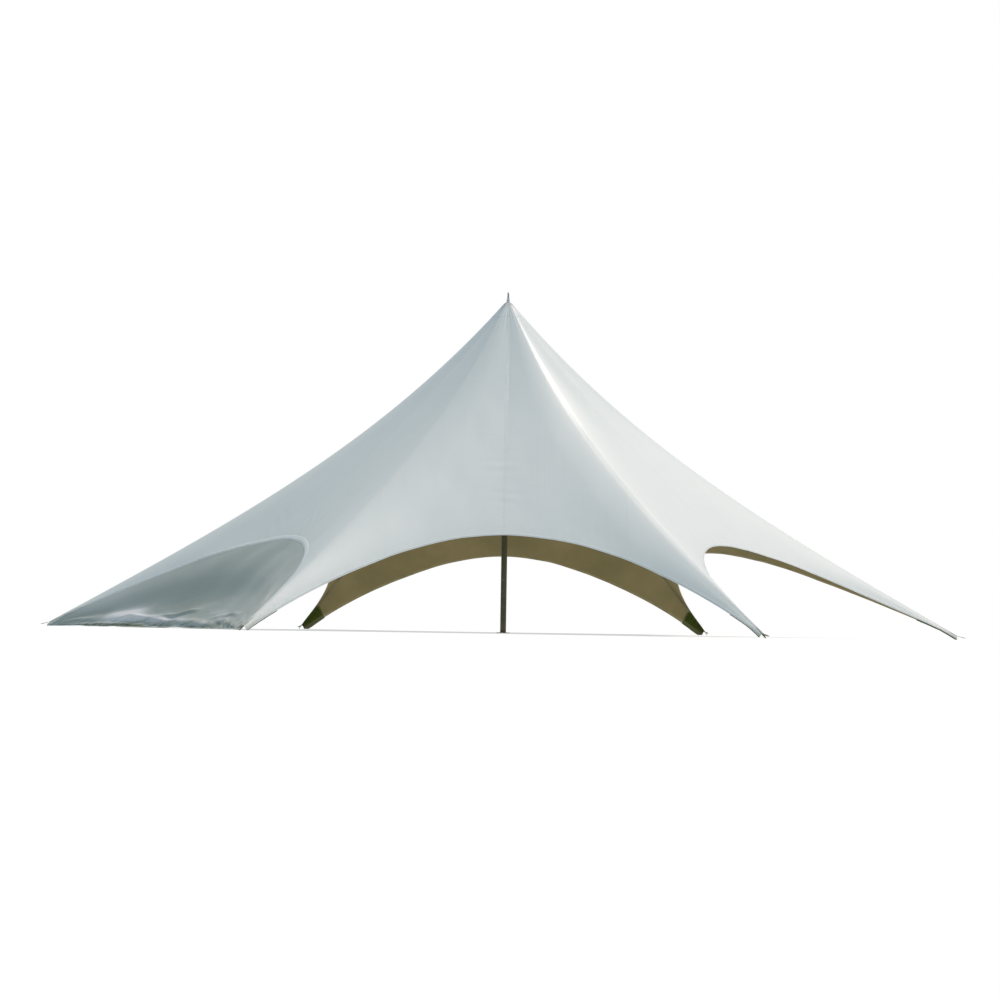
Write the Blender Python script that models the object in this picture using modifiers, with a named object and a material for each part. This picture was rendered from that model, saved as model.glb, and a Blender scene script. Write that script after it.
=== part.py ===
"""Star tent: a centre pole carries one white canopy that is pulled out to six staked arms.

The frame is in metres with +Z up. The origin is on level ground at the pole's axis, the front bay
faces -Y and the left and right arms lie along -X and +X. The bay between the left arm and the
front left arm is closed by a wall panel, and the other five bays are open arches.
"""

import math

import bmesh
import bpy
from mathutils import Matrix, Vector

# Canopy: plan of the arms and of the arches between them.
TIP_RADIUS = 7.0
FABRIC_RADIUS = 6.9
ARCH_RADIUS = 3.7
HALF_CHORD = TIP_RADIUS * math.sin(math.radians(30))
CHORD_RADIUS = TIP_RADIUS * math.cos(math.radians(30))

# Canopy: heights. A bay is a taut membrane whose ridges fall from the peak to the arm tips.
FAR_HEIGHT = 3.92
FAR_SLOPE = 0.6426
PEAK_RISE = 1.17
PEAK_FALLOFF = 0.5825

# The direction in degrees that each bay faces, and the clearance under the middle of its arch.
BAYS = {
    "front": (270, 1.385),
    "right_front": (330, 1.33),
    "right_back": (30, 1.31),
    "back": (90, 1.245),
    "left_back": (150, 1.31),
    "left_front": (210, 1.33),
}
WALLED_BAY = "left_front"

# The direction of each arm in degrees, with the bays to its right and to its left.
ARMS = {
    "right": (0, "right_front", "right_back"),
    "back_right": (60, "right_back", "back"),
    "back_left": (120, "back", "left_back"),
    "left": (180, "left_back", "left_front"),
    "front_left": (240, "left_front", "front"),
    "front_right": (300, "front", "right_front"),
}

# Net of a bay: columns from arm to arm, and rows from the ring at the pole out to the arch. The
# last two rows are bands along the edge of the arch, for the zip flap and for the hem.
COLUMNS = 16
OPEN_ROWS = 8
FLAP_ROW = OPEN_ROWS
HEM_ROW = OPEN_ROWS + 1
EDGE_ROW = OPEN_ROWS + 2
RING_RADIUS_PLAN = 0.06
INNER_SPACING = 0.9
FLAP_WIDTH = 0.075
HEM_WIDTH = 0.04

# Sheet goods. Thicknesses and the gaps between layers are measured straight down.
FABRIC = 0.008
TAPE = 0.004
PATCH = 0.003
LAYER_GAP = 0.0008
RIDGE_GAP = 0.0006
WEBBING_WIDTH = 0.03
WEBBING_START = 0.0708
PATCH_START = 6.3
WHOLE_ARM = 1.0
CONE_SLOPE = 0.5

# Wall panel with the skirt that lies on the ground.
WALL = 0.012
WALL_FOOT_RADIUS = 5.1
WALL_END = 3.3
WALL_TUCK = 0.006
WALL_ROWS = 4
SKIRT_WIDTH = 0.25

# Centre pole.
TUBE_WALL = 0.003
LOWER_TUBE_RADIUS = 0.045
UPPER_TUBE_RADIUS = 0.0415
LOWER_TUBE_TOP = 2.62
UPPER_TUBE_BOTTOM = 2.35
LOCK_HEIGHT = 0.08
LOCK_WALL = 0.007
HEAD_RADIUS = 0.07
HEAD_HEIGHT = 0.05
HEAD_RIM = 0.012
SPIGOT_RADIUS = 0.015
SPIGOT_TOP = 5.175
SPIGOT_TAPER = 0.02
SPIGOT_TIP_RADIUS = 0.009
FOOT_SIDE = 0.2
FOOT_PLATE = 0.008
SEAT_GAP = 0.0004

# Anchors: only what stands above the ground is built.
STAKE_RADIUS = 7.01
STAKE_LEAN = math.radians(12)
STAKE_BAR_RADIUS = 0.009
STAKE_HEIGHT = 0.06
STAKE_HEAD_RADIUS = 0.019
STAKE_HEAD_HEIGHT = 0.012
RING_RADIUS = 0.022
RING_WIRE = 0.004
RING_HEIGHT = 0.034

# Distances that count as none: where points merge, cuts pass and ends are found.
MERGE = 0.00001
CUT = 0.000001
NEAR = 0.0001

# Each finish is a name, base colour, roughness and metallic value.
WHITE_FABRIC = ("white_coated_fabric", (0.80, 0.83, 0.84), 0.45, 0.0)
WHITE_WEBBING = ("white_webbing", (0.74, 0.75, 0.73), 0.7, 0.0)
OLIVE_FABRIC = ("olive_reinforcement", (0.10, 0.13, 0.05), 0.6, 0.0)
GREY_FABRIC = ("grey_wall_fabric", (0.42, 0.47, 0.46), 0.4, 0.0)
POLE_PAINT = ("olive_grey_paint", (0.09, 0.10, 0.07), 0.4, 0.3)
ZINC_STEEL = ("zinc_plated_steel", (0.55, 0.56, 0.56), 0.35, 0.9)


def start_scene():
    """Empties the scene and makes the collection that holds the tent."""
    for old in list(bpy.data.objects):
        bpy.data.objects.remove(old, do_unlink=True)
    made = bpy.data.collections.new("star_tent")
    bpy.context.scene.collection.children.link(made)
    return made


def material_of(finish):
    """The Principled material of a finish, made once."""
    name, colour, roughness, metallic = finish
    made = bpy.data.materials.get(name)
    if made is None:
        made = bpy.data.materials.new(name)
        made.use_nodes = True
        shader = made.node_tree.nodes["Principled BSDF"]
        shader.inputs["Base Color"].default_value = (*colour, 1.0)
        shader.inputs["Roughness"].default_value = roughness
        shader.inputs["Metallic"].default_value = metallic
    return made


def add_object(name, bm, finish):
    """Links a bmesh as a named object with its finish, and frees the bmesh."""
    bmesh.ops.recalc_face_normals(bm, faces=bm.faces[:])
    mesh = bpy.data.meshes.new(name)
    bm.to_mesh(mesh)
    bm.free()
    mesh.materials.append(material_of(finish))
    mesh.shade_smooth()
    mesh.set_sharp_from_angle(angle=math.radians(35))
    made = bpy.data.objects.new(name, mesh)
    tent.objects.link(made)
    return made


def heading(angle):
    """Unit vector in plan for an angle in degrees from +X."""
    return Vector((math.cos(math.radians(angle)), math.sin(math.radians(angle)), 0))


def membrane_height(bay, across, out):
    """Height of a bay's outer face, from its own directions. Each term is harmonic, so the sheet is
    saddle shaped all over. The last term draws the arch down to its clearance and is zero along
    both ridges, which every bay therefore shares with its neighbours."""
    far = FAR_HEIGHT - FAR_SLOPE * out
    peak = PEAK_RISE * math.exp(-PEAK_FALLOFF * out) * math.cos(PEAK_FALLOFF * across)
    free = FAR_HEIGHT - FAR_SLOPE * ARCH_RADIUS
    free += PEAK_RISE * math.exp(-PEAK_FALLOFF * ARCH_RADIUS)
    pull = (free - BAYS[bay][1]) / ARCH_RADIUS**3
    return far + peak - pull * (out**3 - 3 * out * across**2)


def arch_edge(across):
    """Plan position of the edge of an arch: a parabola from arm tip to arm tip."""
    sweep = CHORD_RADIUS - ARCH_RADIUS
    return Vector((across, ARCH_RADIUS + sweep * (across / HALF_CHORD) ** 2))


def band_reach(across, width):
    """Length along the line to the pole that a band of even width along the arch takes up."""
    sweep = CHORD_RADIUS - ARCH_RADIUS
    tangent = Vector((1, 2 * sweep * across / HALF_CHORD**2)).normalized()
    return width / abs(arch_edge(across).normalized().cross(tangent))


def net_plan(column, row):
    """Plan position in a bay of a point of its net."""
    across = HALF_CHORD * (2 * column / COLUMNS - 1)
    edge = arch_edge(across)
    flap_line = edge.length - band_reach(across, FLAP_WIDTH)
    if row == EDGE_ROW:
        reach = edge.length
    elif row == HEM_ROW:
        reach = edge.length - band_reach(across, HEM_WIDTH)
    elif row < 0:
        reach = SPIGOT_RADIUS + LAYER_GAP
    else:
        share = row / OPEN_ROWS
        spread = flap_line - RING_RADIUS_PLAN - INNER_SPACING
        reach = RING_RADIUS_PLAN + INNER_SPACING * share + spread * share**2
    return edge * (reach / edge.length)


def to_world(bay, plan, height):
    """A point given in a bay's own directions, in the world."""
    ahead = heading(BAYS[bay][0])
    side = Vector((-ahead.y, ahead.x, 0))
    return side * plan.x + ahead * plan.y + Vector((0, 0, height))


def net_point(bay, column, row):
    """A point of the canopy's net on its outer face."""
    plan = net_plan(column, row)
    if row < 0:
        rise = CONE_SLOPE * (RING_RADIUS_PLAN - plan.length)
        return to_world(bay, plan, membrane_height(bay, *net_plan(column, 0)) + rise)
    return to_world(bay, plan, membrane_height(bay, *plan))


def net_of(bays, first_row, last_row, column_step=1):
    """The outer face of some bays between two rows of the net, as flat triangles."""
    bm = bmesh.new()
    columns = COLUMNS // column_step
    rows = last_row - first_row
    for bay in bays:
        made = bmesh.ops.create_grid(bm, x_segments=columns, y_segments=rows, size=0.5)
        for vertex in made["verts"]:
            column = column_step * round((vertex.co.x + 0.5) * columns)
            row = first_row + round((vertex.co.y + 0.5) * rows)
            vertex.co = net_point(bay, column, row)
    bmesh.ops.remove_doubles(bm, verts=bm.verts[:], dist=MERGE)
    bmesh.ops.triangulate(bm, faces=bm.faces[:], quad_method="FIXED")
    return bm


def trim(bm, point, normal):
    """Cuts away the part of a sheet that lies beyond an upright plane."""
    geometry = bm.verts[:] + bm.edges[:] + bm.faces[:]
    bmesh.ops.bisect_plane(
        bm, geom=geometry, dist=CUT, plane_co=point, plane_no=normal, clear_outer=True
    )


def thicken(bm, top, thickness):
    """Lowers a sheet so that its top lies this far under the outer face, and extrudes it down."""
    bmesh.ops.translate(bm, verts=bm.verts[:], vec=(0, 0, -top))
    made = bmesh.ops.extrude_face_region(bm, geom=bm.faces[:], use_keep_orig=True)
    lower = [item for item in made["geom"] if isinstance(item, bmesh.types.BMVert)]
    bmesh.ops.translate(bm, verts=lower, vec=(0, 0, -thickness))


def trim_beside_ridges(bm, bay, offset):
    """Cuts a bay's sheet back from the upright planes through both of its ridges."""
    facing = BAYS[bay][0]
    for ridge, outwards in ((facing - 30, -90), (facing + 30, 90)):
        away = heading(ridge + outwards)
        trim(bm, away * -offset, away)


def make_canopy_panels():
    """Six fabric panels from the pole to their arches, with a hair's gap along the ridges."""
    for bay, (facing, _) in BAYS.items():
        bm = net_of([bay], 0, EDGE_ROW)
        trim_beside_ridges(bm, bay, RIDGE_GAP / 2)
        for ridge in (facing - 30, facing + 30):
            trim(bm, heading(ridge) * FABRIC_RADIUS, heading(ridge))
        thicken(bm, 0, FABRIC)
        add_object(f"canopy_panel_{bay}", bm, WHITE_FABRIC)


def make_arch_hems():
    """Doubled hem under the edge of each arch, between the webbings of the two arms."""
    for bay in BAYS:
        bm = net_of([bay], HEM_ROW, EDGE_ROW)
        trim_beside_ridges(bm, bay, WEBBING_WIDTH / 2 + LAYER_GAP)
        thicken(bm, FABRIC + LAYER_GAP, TAPE)
        add_object(f"arch_hem_{bay}", bm, WHITE_WEBBING)


def make_wall_zip_flap():
    """Flap on the outer face along the edge of the walled bay, over the zip of its wall."""
    bm = net_of([WALLED_BAY], FLAP_ROW, EDGE_ROW)
    trim_beside_ridges(bm, WALLED_BAY, WEBBING_WIDTH / 2)
    thicken(bm, -TAPE - LAYER_GAP, TAPE)
    add_object("wall_zip_flap", bm, WHITE_WEBBING)


def arm_sheet(arm, start, half_width):
    """The two bays' outer face along one arm from a distance out to the end of the fabric."""
    angle, right_bay, left_bay = ARMS[arm]
    bm = net_of([right_bay, left_bay], 0, EDGE_ROW)
    trim(bm, heading(angle) * start, -heading(angle))
    trim(bm, heading(angle) * FABRIC_RADIUS, heading(angle))
    for side in (-90, 90):
        away = heading(angle + side)
        trim(bm, away * half_width, away)
    return bm


def make_arm_patches():
    """Reinforcement under the end of each arm, over its whole width."""
    for arm in ARMS:
        bm = arm_sheet(arm, PATCH_START, WHOLE_ARM)
        thicken(bm, FABRIC + TAPE + 2 * LAYER_GAP, PATCH)
        add_object(f"arm_end_patch_{arm}", bm, OLIVE_FABRIC)


def make_ridge_webbings():
    """Load webbing under each ridge. It runs on past the fabric as the strap to the ring."""
    near_side = RING_RADIUS * math.cos(STAKE_LEAN) + RING_WIRE
    strap_end = ring_centre_radius() - near_side - SEAT_GAP
    strap_height = RING_HEIGHT + RING_RADIUS * math.sin(STAKE_LEAN)
    for arm, (angle, _, _) in ARMS.items():
        bm = arm_sheet(arm, WEBBING_START, WEBBING_WIDTH / 2)
        thicken(bm, FABRIC + LAYER_GAP, TAPE)
        bm.normal_update()
        along = heading(angle)
        end = [
            face
            for face in bm.faces
            if abs(face.calc_center_median().dot(along) - FABRIC_RADIUS) < NEAR
        ]
        made = bmesh.ops.extrude_face_region(bm, geom=end)
        bmesh.ops.delete(bm, geom=end, context="FACES_ONLY")
        outer = [item for item in made["geom"] if isinstance(item, bmesh.types.BMVert)]
        flatten_end(outer, along * (strap_end - FABRIC_RADIUS), strap_height)
        add_object(f"ridge_webbing_{arm}", bm, OLIVE_FABRIC)


def flatten_end(corners, move, height):
    """Moves the folded end of a webbing outwards and lays it flat at a height. Its corners lie in
    pairs, one over the other."""
    tops = []
    for corner in corners:
        rest = [other for other in corners if other is not corner]
        twin = min(rest, key=lambda other: (other.co.xy - corner.co.xy).length)
        tops.append(corner.co.z > twin.co.z)
    for corner, is_top in zip(corners, tops):
        corner.co += move
        corner.co.z = height + (TAPE / 2 if is_top else -TAPE / 2)


def make_peak_cone():
    """Second layer of fabric over the panels round the peak, drawn close to the spigot."""
    bm = net_of(BAYS, -1, 1, column_step=2)
    thicken(bm, -TAPE - LAYER_GAP, TAPE)
    add_object("peak_cone", bm, WHITE_FABRIC)


def ring_centre_radius():
    """Distance from the pole of a ring's centre. The ring bears on the far side of its stake."""
    stake = STAKE_RADIUS + RING_HEIGHT * math.tan(STAKE_LEAN)
    return stake - (RING_RADIUS - RING_WIRE - STAKE_BAR_RADIUS - SEAT_GAP)


def make_anchor_rings():
    """Steel ring over each stake, which the strap pulls towards the tent."""
    for arm, (angle, _, _) in ARMS.items():
        place = heading(angle) * ring_centre_radius() + Vector((0, 0, RING_HEIGHT))
        bpy.ops.mesh.primitive_torus_add(
            major_radius=RING_RADIUS,
            minor_radius=RING_WIRE,
            major_segments=14,
            minor_segments=6,
            location=place,
            rotation=(0, STAKE_LEAN, math.radians(angle)),
        )
        ring = bpy.context.object
        ring.name = f"anchor_ring_{arm}"
        ring.data.materials.append(material_of(ZINC_STEEL))
        ring.data.shade_smooth()
        for holder in list(ring.users_collection):
            holder.objects.unlink(ring)
        tent.objects.link(ring)


def make_stakes():
    """Head of the round bar driven into the ground at the end of each arm, leaning outwards."""
    for arm, (angle, _, _) in ARMS.items():
        bm = bmesh.new()
        bmesh.ops.create_cone(
            bm,
            cap_ends=True,
            segments=12,
            radius1=STAKE_BAR_RADIUS,
            radius2=STAKE_BAR_RADIUS,
            depth=2 * STAKE_HEIGHT,
        )
        widen_top(bm, STAKE_HEAD_RADIUS / STAKE_BAR_RADIUS, STAKE_HEAD_HEIGHT)
        lean = Matrix.Rotation(STAKE_LEAN, 4, "Y")
        turn = Matrix.Rotation(math.radians(angle), 4, "Z")
        shift = Matrix.Translation(heading(angle) * STAKE_RADIUS)
        bmesh.ops.transform(bm, matrix=shift @ turn @ lean, verts=bm.verts[:])
        cut = bmesh.ops.bisect_plane(
            bm,
            geom=bm.verts[:] + bm.edges[:] + bm.faces[:],
            dist=CUT,
            plane_co=(0, 0, 0),
            plane_no=(0, 0, -1),
            clear_outer=True,
        )
        rim = [item for item in cut["geom_cut"] if isinstance(item, bmesh.types.BMEdge)]
        bmesh.ops.contextual_create(bm, geom=rim)
        add_object(f"stake_{arm}", bm, ZINC_STEEL)


def widen_top(bm, spread, height):
    """Grows a wider disc of this height on the top face of an upright bar."""
    top = max(bm.faces, key=lambda face: face.calc_center_median().z)
    for factor, rise in ((spread, 0.0), (1.0, height)):
        made = bmesh.ops.extrude_discrete_faces(bm, faces=[top])
        top = made["faces"][0]
        middle = Matrix.Translation(-top.calc_center_median())
        bmesh.ops.scale(bm, vec=(factor, factor, 1), space=middle, verts=top.verts[:])
        bmesh.ops.translate(bm, vec=(0, 0, rise), verts=top.verts[:])


def turned(name, profile, finish):
    """A solid turned about the Z axis from a closed profile of (radius, height) corners, whose
    outer side runs downwards."""
    bm = bmesh.new()
    corners = [bm.verts.new((radius, 0, height)) for radius, height in profile]
    for start, end in zip(corners, corners[1:] + corners[:1]):
        if start.co.x > 0 or end.co.x > 0:
            bm.edges.new((start, end))
    mesh = bpy.data.meshes.new(name)
    bm.to_mesh(mesh)
    bm.free()
    mesh.materials.append(material_of(finish))
    made = bpy.data.objects.new(name, mesh)
    tent.objects.link(made)
    screw = made.modifiers.new("turn", "SCREW")
    screw.axis = "Z"
    screw.steps = 24
    screw.render_steps = 24
    screw.use_merge_vertices = True
    screw.merge_threshold = MERGE
    return made


def tube(name, inner, wall, bottom, top):
    """A plain round tube on the Z axis."""
    outer = inner + wall
    turned(name, [(inner, top), (outer, top), (outer, bottom), (inner, bottom)], POLE_PAINT)


def make_pole():
    """Telescopic steel pole on a foot plate: two tubes with the collar that locks them, and a
    mushroom head whose spigot comes out at the peak."""
    bm = bmesh.new()
    bmesh.ops.create_cube(bm, size=1)
    bmesh.ops.scale(bm, vec=(FOOT_SIDE, FOOT_SIDE, FOOT_PLATE), verts=bm.verts[:])
    bmesh.ops.translate(bm, vec=(0, 0, FOOT_PLATE / 2), verts=bm.verts[:])
    add_object("pole_foot_plate", bm, POLE_PAINT)

    seat = FOOT_PLATE + SEAT_GAP
    inside = LOWER_TUBE_RADIUS - TUBE_WALL
    tube("pole_lower_tube", inside, TUBE_WALL, seat, LOWER_TUBE_TOP)
    around = LOWER_TUBE_RADIUS + SEAT_GAP
    tube("pole_lock_collar", around, LOCK_WALL, LOWER_TUBE_TOP - LOCK_HEIGHT, LOWER_TUBE_TOP)

    head_top = min(membrane_height(bay, 0, HEAD_RADIUS) for bay in BAYS) - FABRIC - LAYER_GAP
    head_bottom = head_top - HEAD_HEIGHT
    inside = UPPER_TUBE_RADIUS - TUBE_WALL
    tube("pole_upper_tube", inside, TUBE_WALL, UPPER_TUBE_BOTTOM, head_bottom - SEAT_GAP)
    profile = [
        (0, SPIGOT_TOP),
        (SPIGOT_TIP_RADIUS, SPIGOT_TOP),
        (SPIGOT_RADIUS, SPIGOT_TOP - SPIGOT_TAPER),
        (SPIGOT_RADIUS, head_top),
        (HEAD_RADIUS, head_top),
        (HEAD_RADIUS, head_top - HEAD_RIM),
        (UPPER_TUBE_RADIUS, head_bottom),
        (0, head_bottom),
    ]
    turned("pole_head", profile, POLE_PAINT)


def wall_point(column, row):
    """A point of the wall's outer face: down from under the arch to the ground, then the skirt."""
    last = COLUMNS * WALL_END / HALF_CHORD
    column = max((COLUMNS - last) / 2, min((COLUMNS + last) / 2, column))
    across = HALF_CHORD * (2 * column / COLUMNS - 1)
    edge = net_plan(column, EDGE_ROW)
    inner = net_plan(column, HEM_ROW)
    share = WALL_TUCK / (edge - inner).length
    top = edge.lerp(inner, share)
    top_height = membrane_height(WALLED_BAY, *edge) * (1 - share)
    top_height += membrane_height(WALLED_BAY, *inner) * share
    top_height -= FABRIC + TAPE + PATCH + 3 * LAYER_GAP
    sweep = CHORD_RADIUS - WALL_FOOT_RADIUS
    foot = Vector((across, WALL_FOOT_RADIUS + sweep * (across / HALF_CHORD) ** 2))
    if row > WALL_ROWS:
        width = SKIRT_WIDTH * (1 - (across / HALF_CHORD) ** 2)
        return to_world(WALLED_BAY, foot + Vector((0, width)), WALL)
    down = row / WALL_ROWS
    height = top_height + (WALL - top_height) * down
    return to_world(WALLED_BAY, top.lerp(foot, down), height)


def make_wall():
    """Wall panel under the hem of the walled bay, with a skirt that lies flat on the ground."""
    bm = bmesh.new()
    rows = WALL_ROWS + 1
    bmesh.ops.create_grid(bm, x_segments=COLUMNS, y_segments=rows, size=0.5)
    for vertex in bm.verts:
        column = round((vertex.co.x + 0.5) * COLUMNS)
        vertex.co = wall_point(column, round((vertex.co.y + 0.5) * rows))
    bmesh.ops.triangulate(bm, faces=bm.faces[:], quad_method="FIXED")
    thicken(bm, 0, WALL)
    add_object("wall_panel", bm, GREY_FABRIC)


tent = start_scene()
make_pole()
make_canopy_panels()
make_arch_hems()
make_ridge_webbings()
make_arm_patches()
make_peak_cone()
make_anchor_rings()
make_stakes()
make_wall()
make_wall_zip_flap()
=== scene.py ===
import math

import bpy
import numpy as np
from mathutils import Matrix, Vector


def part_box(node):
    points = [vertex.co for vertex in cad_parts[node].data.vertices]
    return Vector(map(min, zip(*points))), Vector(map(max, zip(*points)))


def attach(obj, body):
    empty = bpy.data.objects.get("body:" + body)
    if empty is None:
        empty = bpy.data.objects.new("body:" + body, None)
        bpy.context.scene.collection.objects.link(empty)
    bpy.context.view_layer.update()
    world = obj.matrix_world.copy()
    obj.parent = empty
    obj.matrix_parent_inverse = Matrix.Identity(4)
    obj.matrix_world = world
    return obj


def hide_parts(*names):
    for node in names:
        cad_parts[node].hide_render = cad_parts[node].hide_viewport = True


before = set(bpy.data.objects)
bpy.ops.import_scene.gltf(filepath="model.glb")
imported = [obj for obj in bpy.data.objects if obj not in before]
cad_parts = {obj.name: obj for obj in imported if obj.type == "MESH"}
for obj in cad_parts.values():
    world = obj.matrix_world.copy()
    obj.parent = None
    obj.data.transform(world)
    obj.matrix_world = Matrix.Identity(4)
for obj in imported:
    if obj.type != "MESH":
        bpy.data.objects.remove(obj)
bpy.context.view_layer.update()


# Studio: a white floor and backdrop, a warm light high on the right behind the tent, and a cool
# even light from all round. The floor glows a little, like a light table, so that its shadows stay
# faint. The camera looks slightly up from 47 m away, as the photo was taken.
SUN_DIRECTION = (0.385, 0.385, 0.839)
SUN_COLOUR = (1.0, 0.87, 0.765)
SUN_STRENGTH = 2.76
SUN_ANGLE = math.radians(9)
FILL_COLOUR = (0.62, 0.87, 1.0)
FILL_STRENGTH = 0.42
CAMERA_PLACE = (0, -46.97, 0.14)
CAMERA_LENS = 111.1
CAMERA_PITCH = math.radians(2.295)
CAMERA_YAW = math.radians(0.0945)
CAMERA_ROLL = math.radians(0.9)
FLOOR_SIDE = 700
FLOOR_COLOUR = (0.45, 0.45, 0.45)
FLOOR_GLOW = (0.56, 0.565, 0.575)


def light_studio():
    """The sun lamp and the world. The camera sees the world as an even white backdrop."""
    sun = bpy.data.lights.new("key_light", "SUN")
    sun.color = SUN_COLOUR
    sun.energy = SUN_STRENGTH
    sun.angle = SUN_ANGLE
    lamp = bpy.data.objects.new("key_light", sun)
    lamp.rotation_euler = Vector(SUN_DIRECTION).to_track_quat("Z", "Y").to_euler()
    bpy.context.scene.collection.objects.link(lamp)
    world = bpy.data.worlds.new("studio")
    world.use_nodes = True
    nodes, links = world.node_tree.nodes, world.node_tree.links
    fill = nodes["Background"]
    fill.inputs["Color"].default_value = (*FILL_COLOUR, 1)
    fill.inputs["Strength"].default_value = FILL_STRENGTH
    backdrop = nodes.new("ShaderNodeBackground")
    backdrop.inputs["Color"].default_value = (1, 1, 1, 1)
    path = nodes.new("ShaderNodeLightPath")
    choose = nodes.new("ShaderNodeMixShader")
    links.new(path.outputs["Is Camera Ray"], choose.inputs[0])
    links.new(fill.outputs[0], choose.inputs[1])
    links.new(backdrop.outputs[0], choose.inputs[2])
    links.new(choose.outputs[0], nodes["World Output"].inputs["Surface"])
    bpy.context.scene.world = world
    bpy.context.scene.view_settings.view_transform = "Standard"


def lay_floor():
    """A plain matt floor, level with the underside of the foot plate."""
    bpy.ops.object.select_all(action="DESELECT")
    bpy.ops.mesh.primitive_plane_add(size=FLOOR_SIDE)
    floor = bpy.context.object
    floor.name = "studio_floor"
    paint = bpy.data.materials.new("studio_floor")
    paint.use_nodes = True
    shader = paint.node_tree.nodes["Principled BSDF"]
    shader.inputs["Base Color"].default_value = (*FLOOR_COLOUR, 1)
    shader.inputs["Roughness"].default_value = 1.0
    shader.inputs["Specular IOR Level"].default_value = 0.0
    shader.inputs["Emission Color"].default_value = (*FLOOR_GLOW, 1)
    shader.inputs["Emission Strength"].default_value = 1.0
    floor.data.materials.append(paint)


def place_camera():
    """The camera of the photo, with the photo's slight turn clockwise."""
    lens = bpy.data.cameras.new("camera")
    lens.lens = CAMERA_LENS
    lens.clip_end = FLOOR_SIDE
    camera = bpy.data.objects.new("camera", lens)
    turn = Matrix.Rotation(CAMERA_YAW, 4, "Z")
    turn = turn @ Matrix.Rotation(math.radians(90) + CAMERA_PITCH, 4, "X")
    turn = turn @ Matrix.Rotation(CAMERA_ROLL, 4, "Z")
    camera.matrix_world = Matrix.Translation(CAMERA_PLACE) @ turn
    bpy.context.scene.collection.objects.link(camera)
    bpy.context.scene.camera = camera


light_studio()
lay_floor()
place_camera()


# Centre pole: a square steel foot plate, two telescopic tubes with a clamped collar where they
# lock, and a mushroom head with a spigot. It is welded steel in dark olive-grey paint, and the
# spigot is zinc-plated.
PAINT = (0.056, 0.062, 0.017)
PAINT_FADED = (0.080, 0.084, 0.034)
BARE_STEEL = (0.30, 0.29, 0.27)
DRY_MUD = (0.20, 0.165, 0.11)
ZINC = (0.42, 0.43, 0.43)
ZINC_DARK = (0.24, 0.245, 0.25)
RUST = (0.16, 0.062, 0.022)
SPIGOT_RADIUS = 0.015
SPIGOT_RISE = 0.02
TUBE_WALL = 0.003
TUBE_SIDES = 72
PLATE_CORNER = 0.02
BRIM_BEVEL = 0.001
WELD_BEAD = 0.0035
WELD_RIPPLES = 96
BOLT_RADIUS = 0.005
EAR_LENGTH = 0.05
EAR_THICKNESS = 0.007
EAR_REACH = 0.026


class Wiring:
    """Places the nodes of a material or of a node group, and joins them."""

    def __init__(self, tree):
        self.tree = tree

    def feed(self, socket, value):
        """Gives a socket a number, a colour or the output of another node."""
        if isinstance(value, bpy.types.NodeSocket):
            self.tree.links.new(value, socket)
        elif socket.type == "RGBA":
            socket.default_value = (*value, 1)
        else:
            socket.default_value = value

    def add(self, kind, settings=None, **sockets):
        """One node, with its settings and with what its named sockets take."""
        node = self.tree.nodes.new("ShaderNode" + kind)
        for name, value in (settings or {}).items():
            setattr(node, name, value)
        for name, value in sockets.items():
            self.feed(node.inputs[name.replace("_", " ")], value)
        return node

    def place(self):
        """The piece's own coordinates, which are metres in the tent's frame."""
        return self.add("TexCoord").outputs["Object"]

    def cloth_place(self):
        """Metres along the cloth, from its UV map."""
        return self.add("UVMap", {"uv_map": "cloth"}).outputs["UV"]

    def mark(self, name):
        """A value that the mesh holds at each of its points."""
        return self.add("Attribute", {"attribute_name": name}).outputs["Fac"]

    def split(self, vector):
        """The three parts of a vector."""
        return self.add("SeparateXYZ", Vector=vector).outputs

    def scaled(self, vector, scale):
        """A vector times a scale for each direction."""
        return self.add("Mapping", Vector=vector, Scale=scale).outputs[0]

    def maths(self, operation, first, second=0.0, clamped=False):
        """A sum of two numbers."""
        node = self.add("Math", {"operation": operation, "use_clamp": clamped})
        self.feed(node.inputs[0], first)
        self.feed(node.inputs[1], second)
        return node.outputs[0]

    def graded(self, value, low, high, to_low=0.0, to_high=1.0):
        """One range of a number drawn out to another, and held at its ends."""
        node = self.add("MapRange", {"interpolation_type": "SMOOTHSTEP"}, Value=value)
        for name, number in zip(("From Min", "From Max", "To Min", "To Max"), (low, high, to_low, to_high)):
            node.inputs[name].default_value = number
        return node.outputs[0]

    def mixed(self, share, first, second, kind="MIX"):
        """A colour between two others."""
        node = self.add("Mix", {"data_type": "RGBA", "blend_type": kind})
        self.feed(node.inputs[0], share)
        self.feed(node.inputs[6], first)
        self.feed(node.inputs[7], second)
        return node.outputs[2]

    def clouds(self, vector, scale, detail=3.0, roughness=0.5):
        """Soft noise about one half."""
        node = self.add("TexNoise", Vector=vector, Scale=scale, Detail=detail, Roughness=roughness)
        return node.outputs[0]

    def group(self, tree, **sockets):
        """A shared effect, placed as a node."""
        return self.add("Group", {"node_tree": tree}, **sockets).outputs

    def raised(self, height, strength=1.0):
        """A normal bent by a height in metres."""
        return self.add("Bump", Height=height, Distance=1.0, Strength=strength).outputs[0]


def new_material(name, **values):
    """A material, its wiring and its shader with the values that are the same all over."""
    made = bpy.data.materials.new(name)
    made.use_nodes = True
    shader = made.node_tree.nodes["Principled BSDF"]
    wiring = Wiring(made.node_tree)
    for socket, value in values.items():
        wiring.feed(shader.inputs[socket.replace("_", " ")], value)
    return made, wiring, shader


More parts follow.
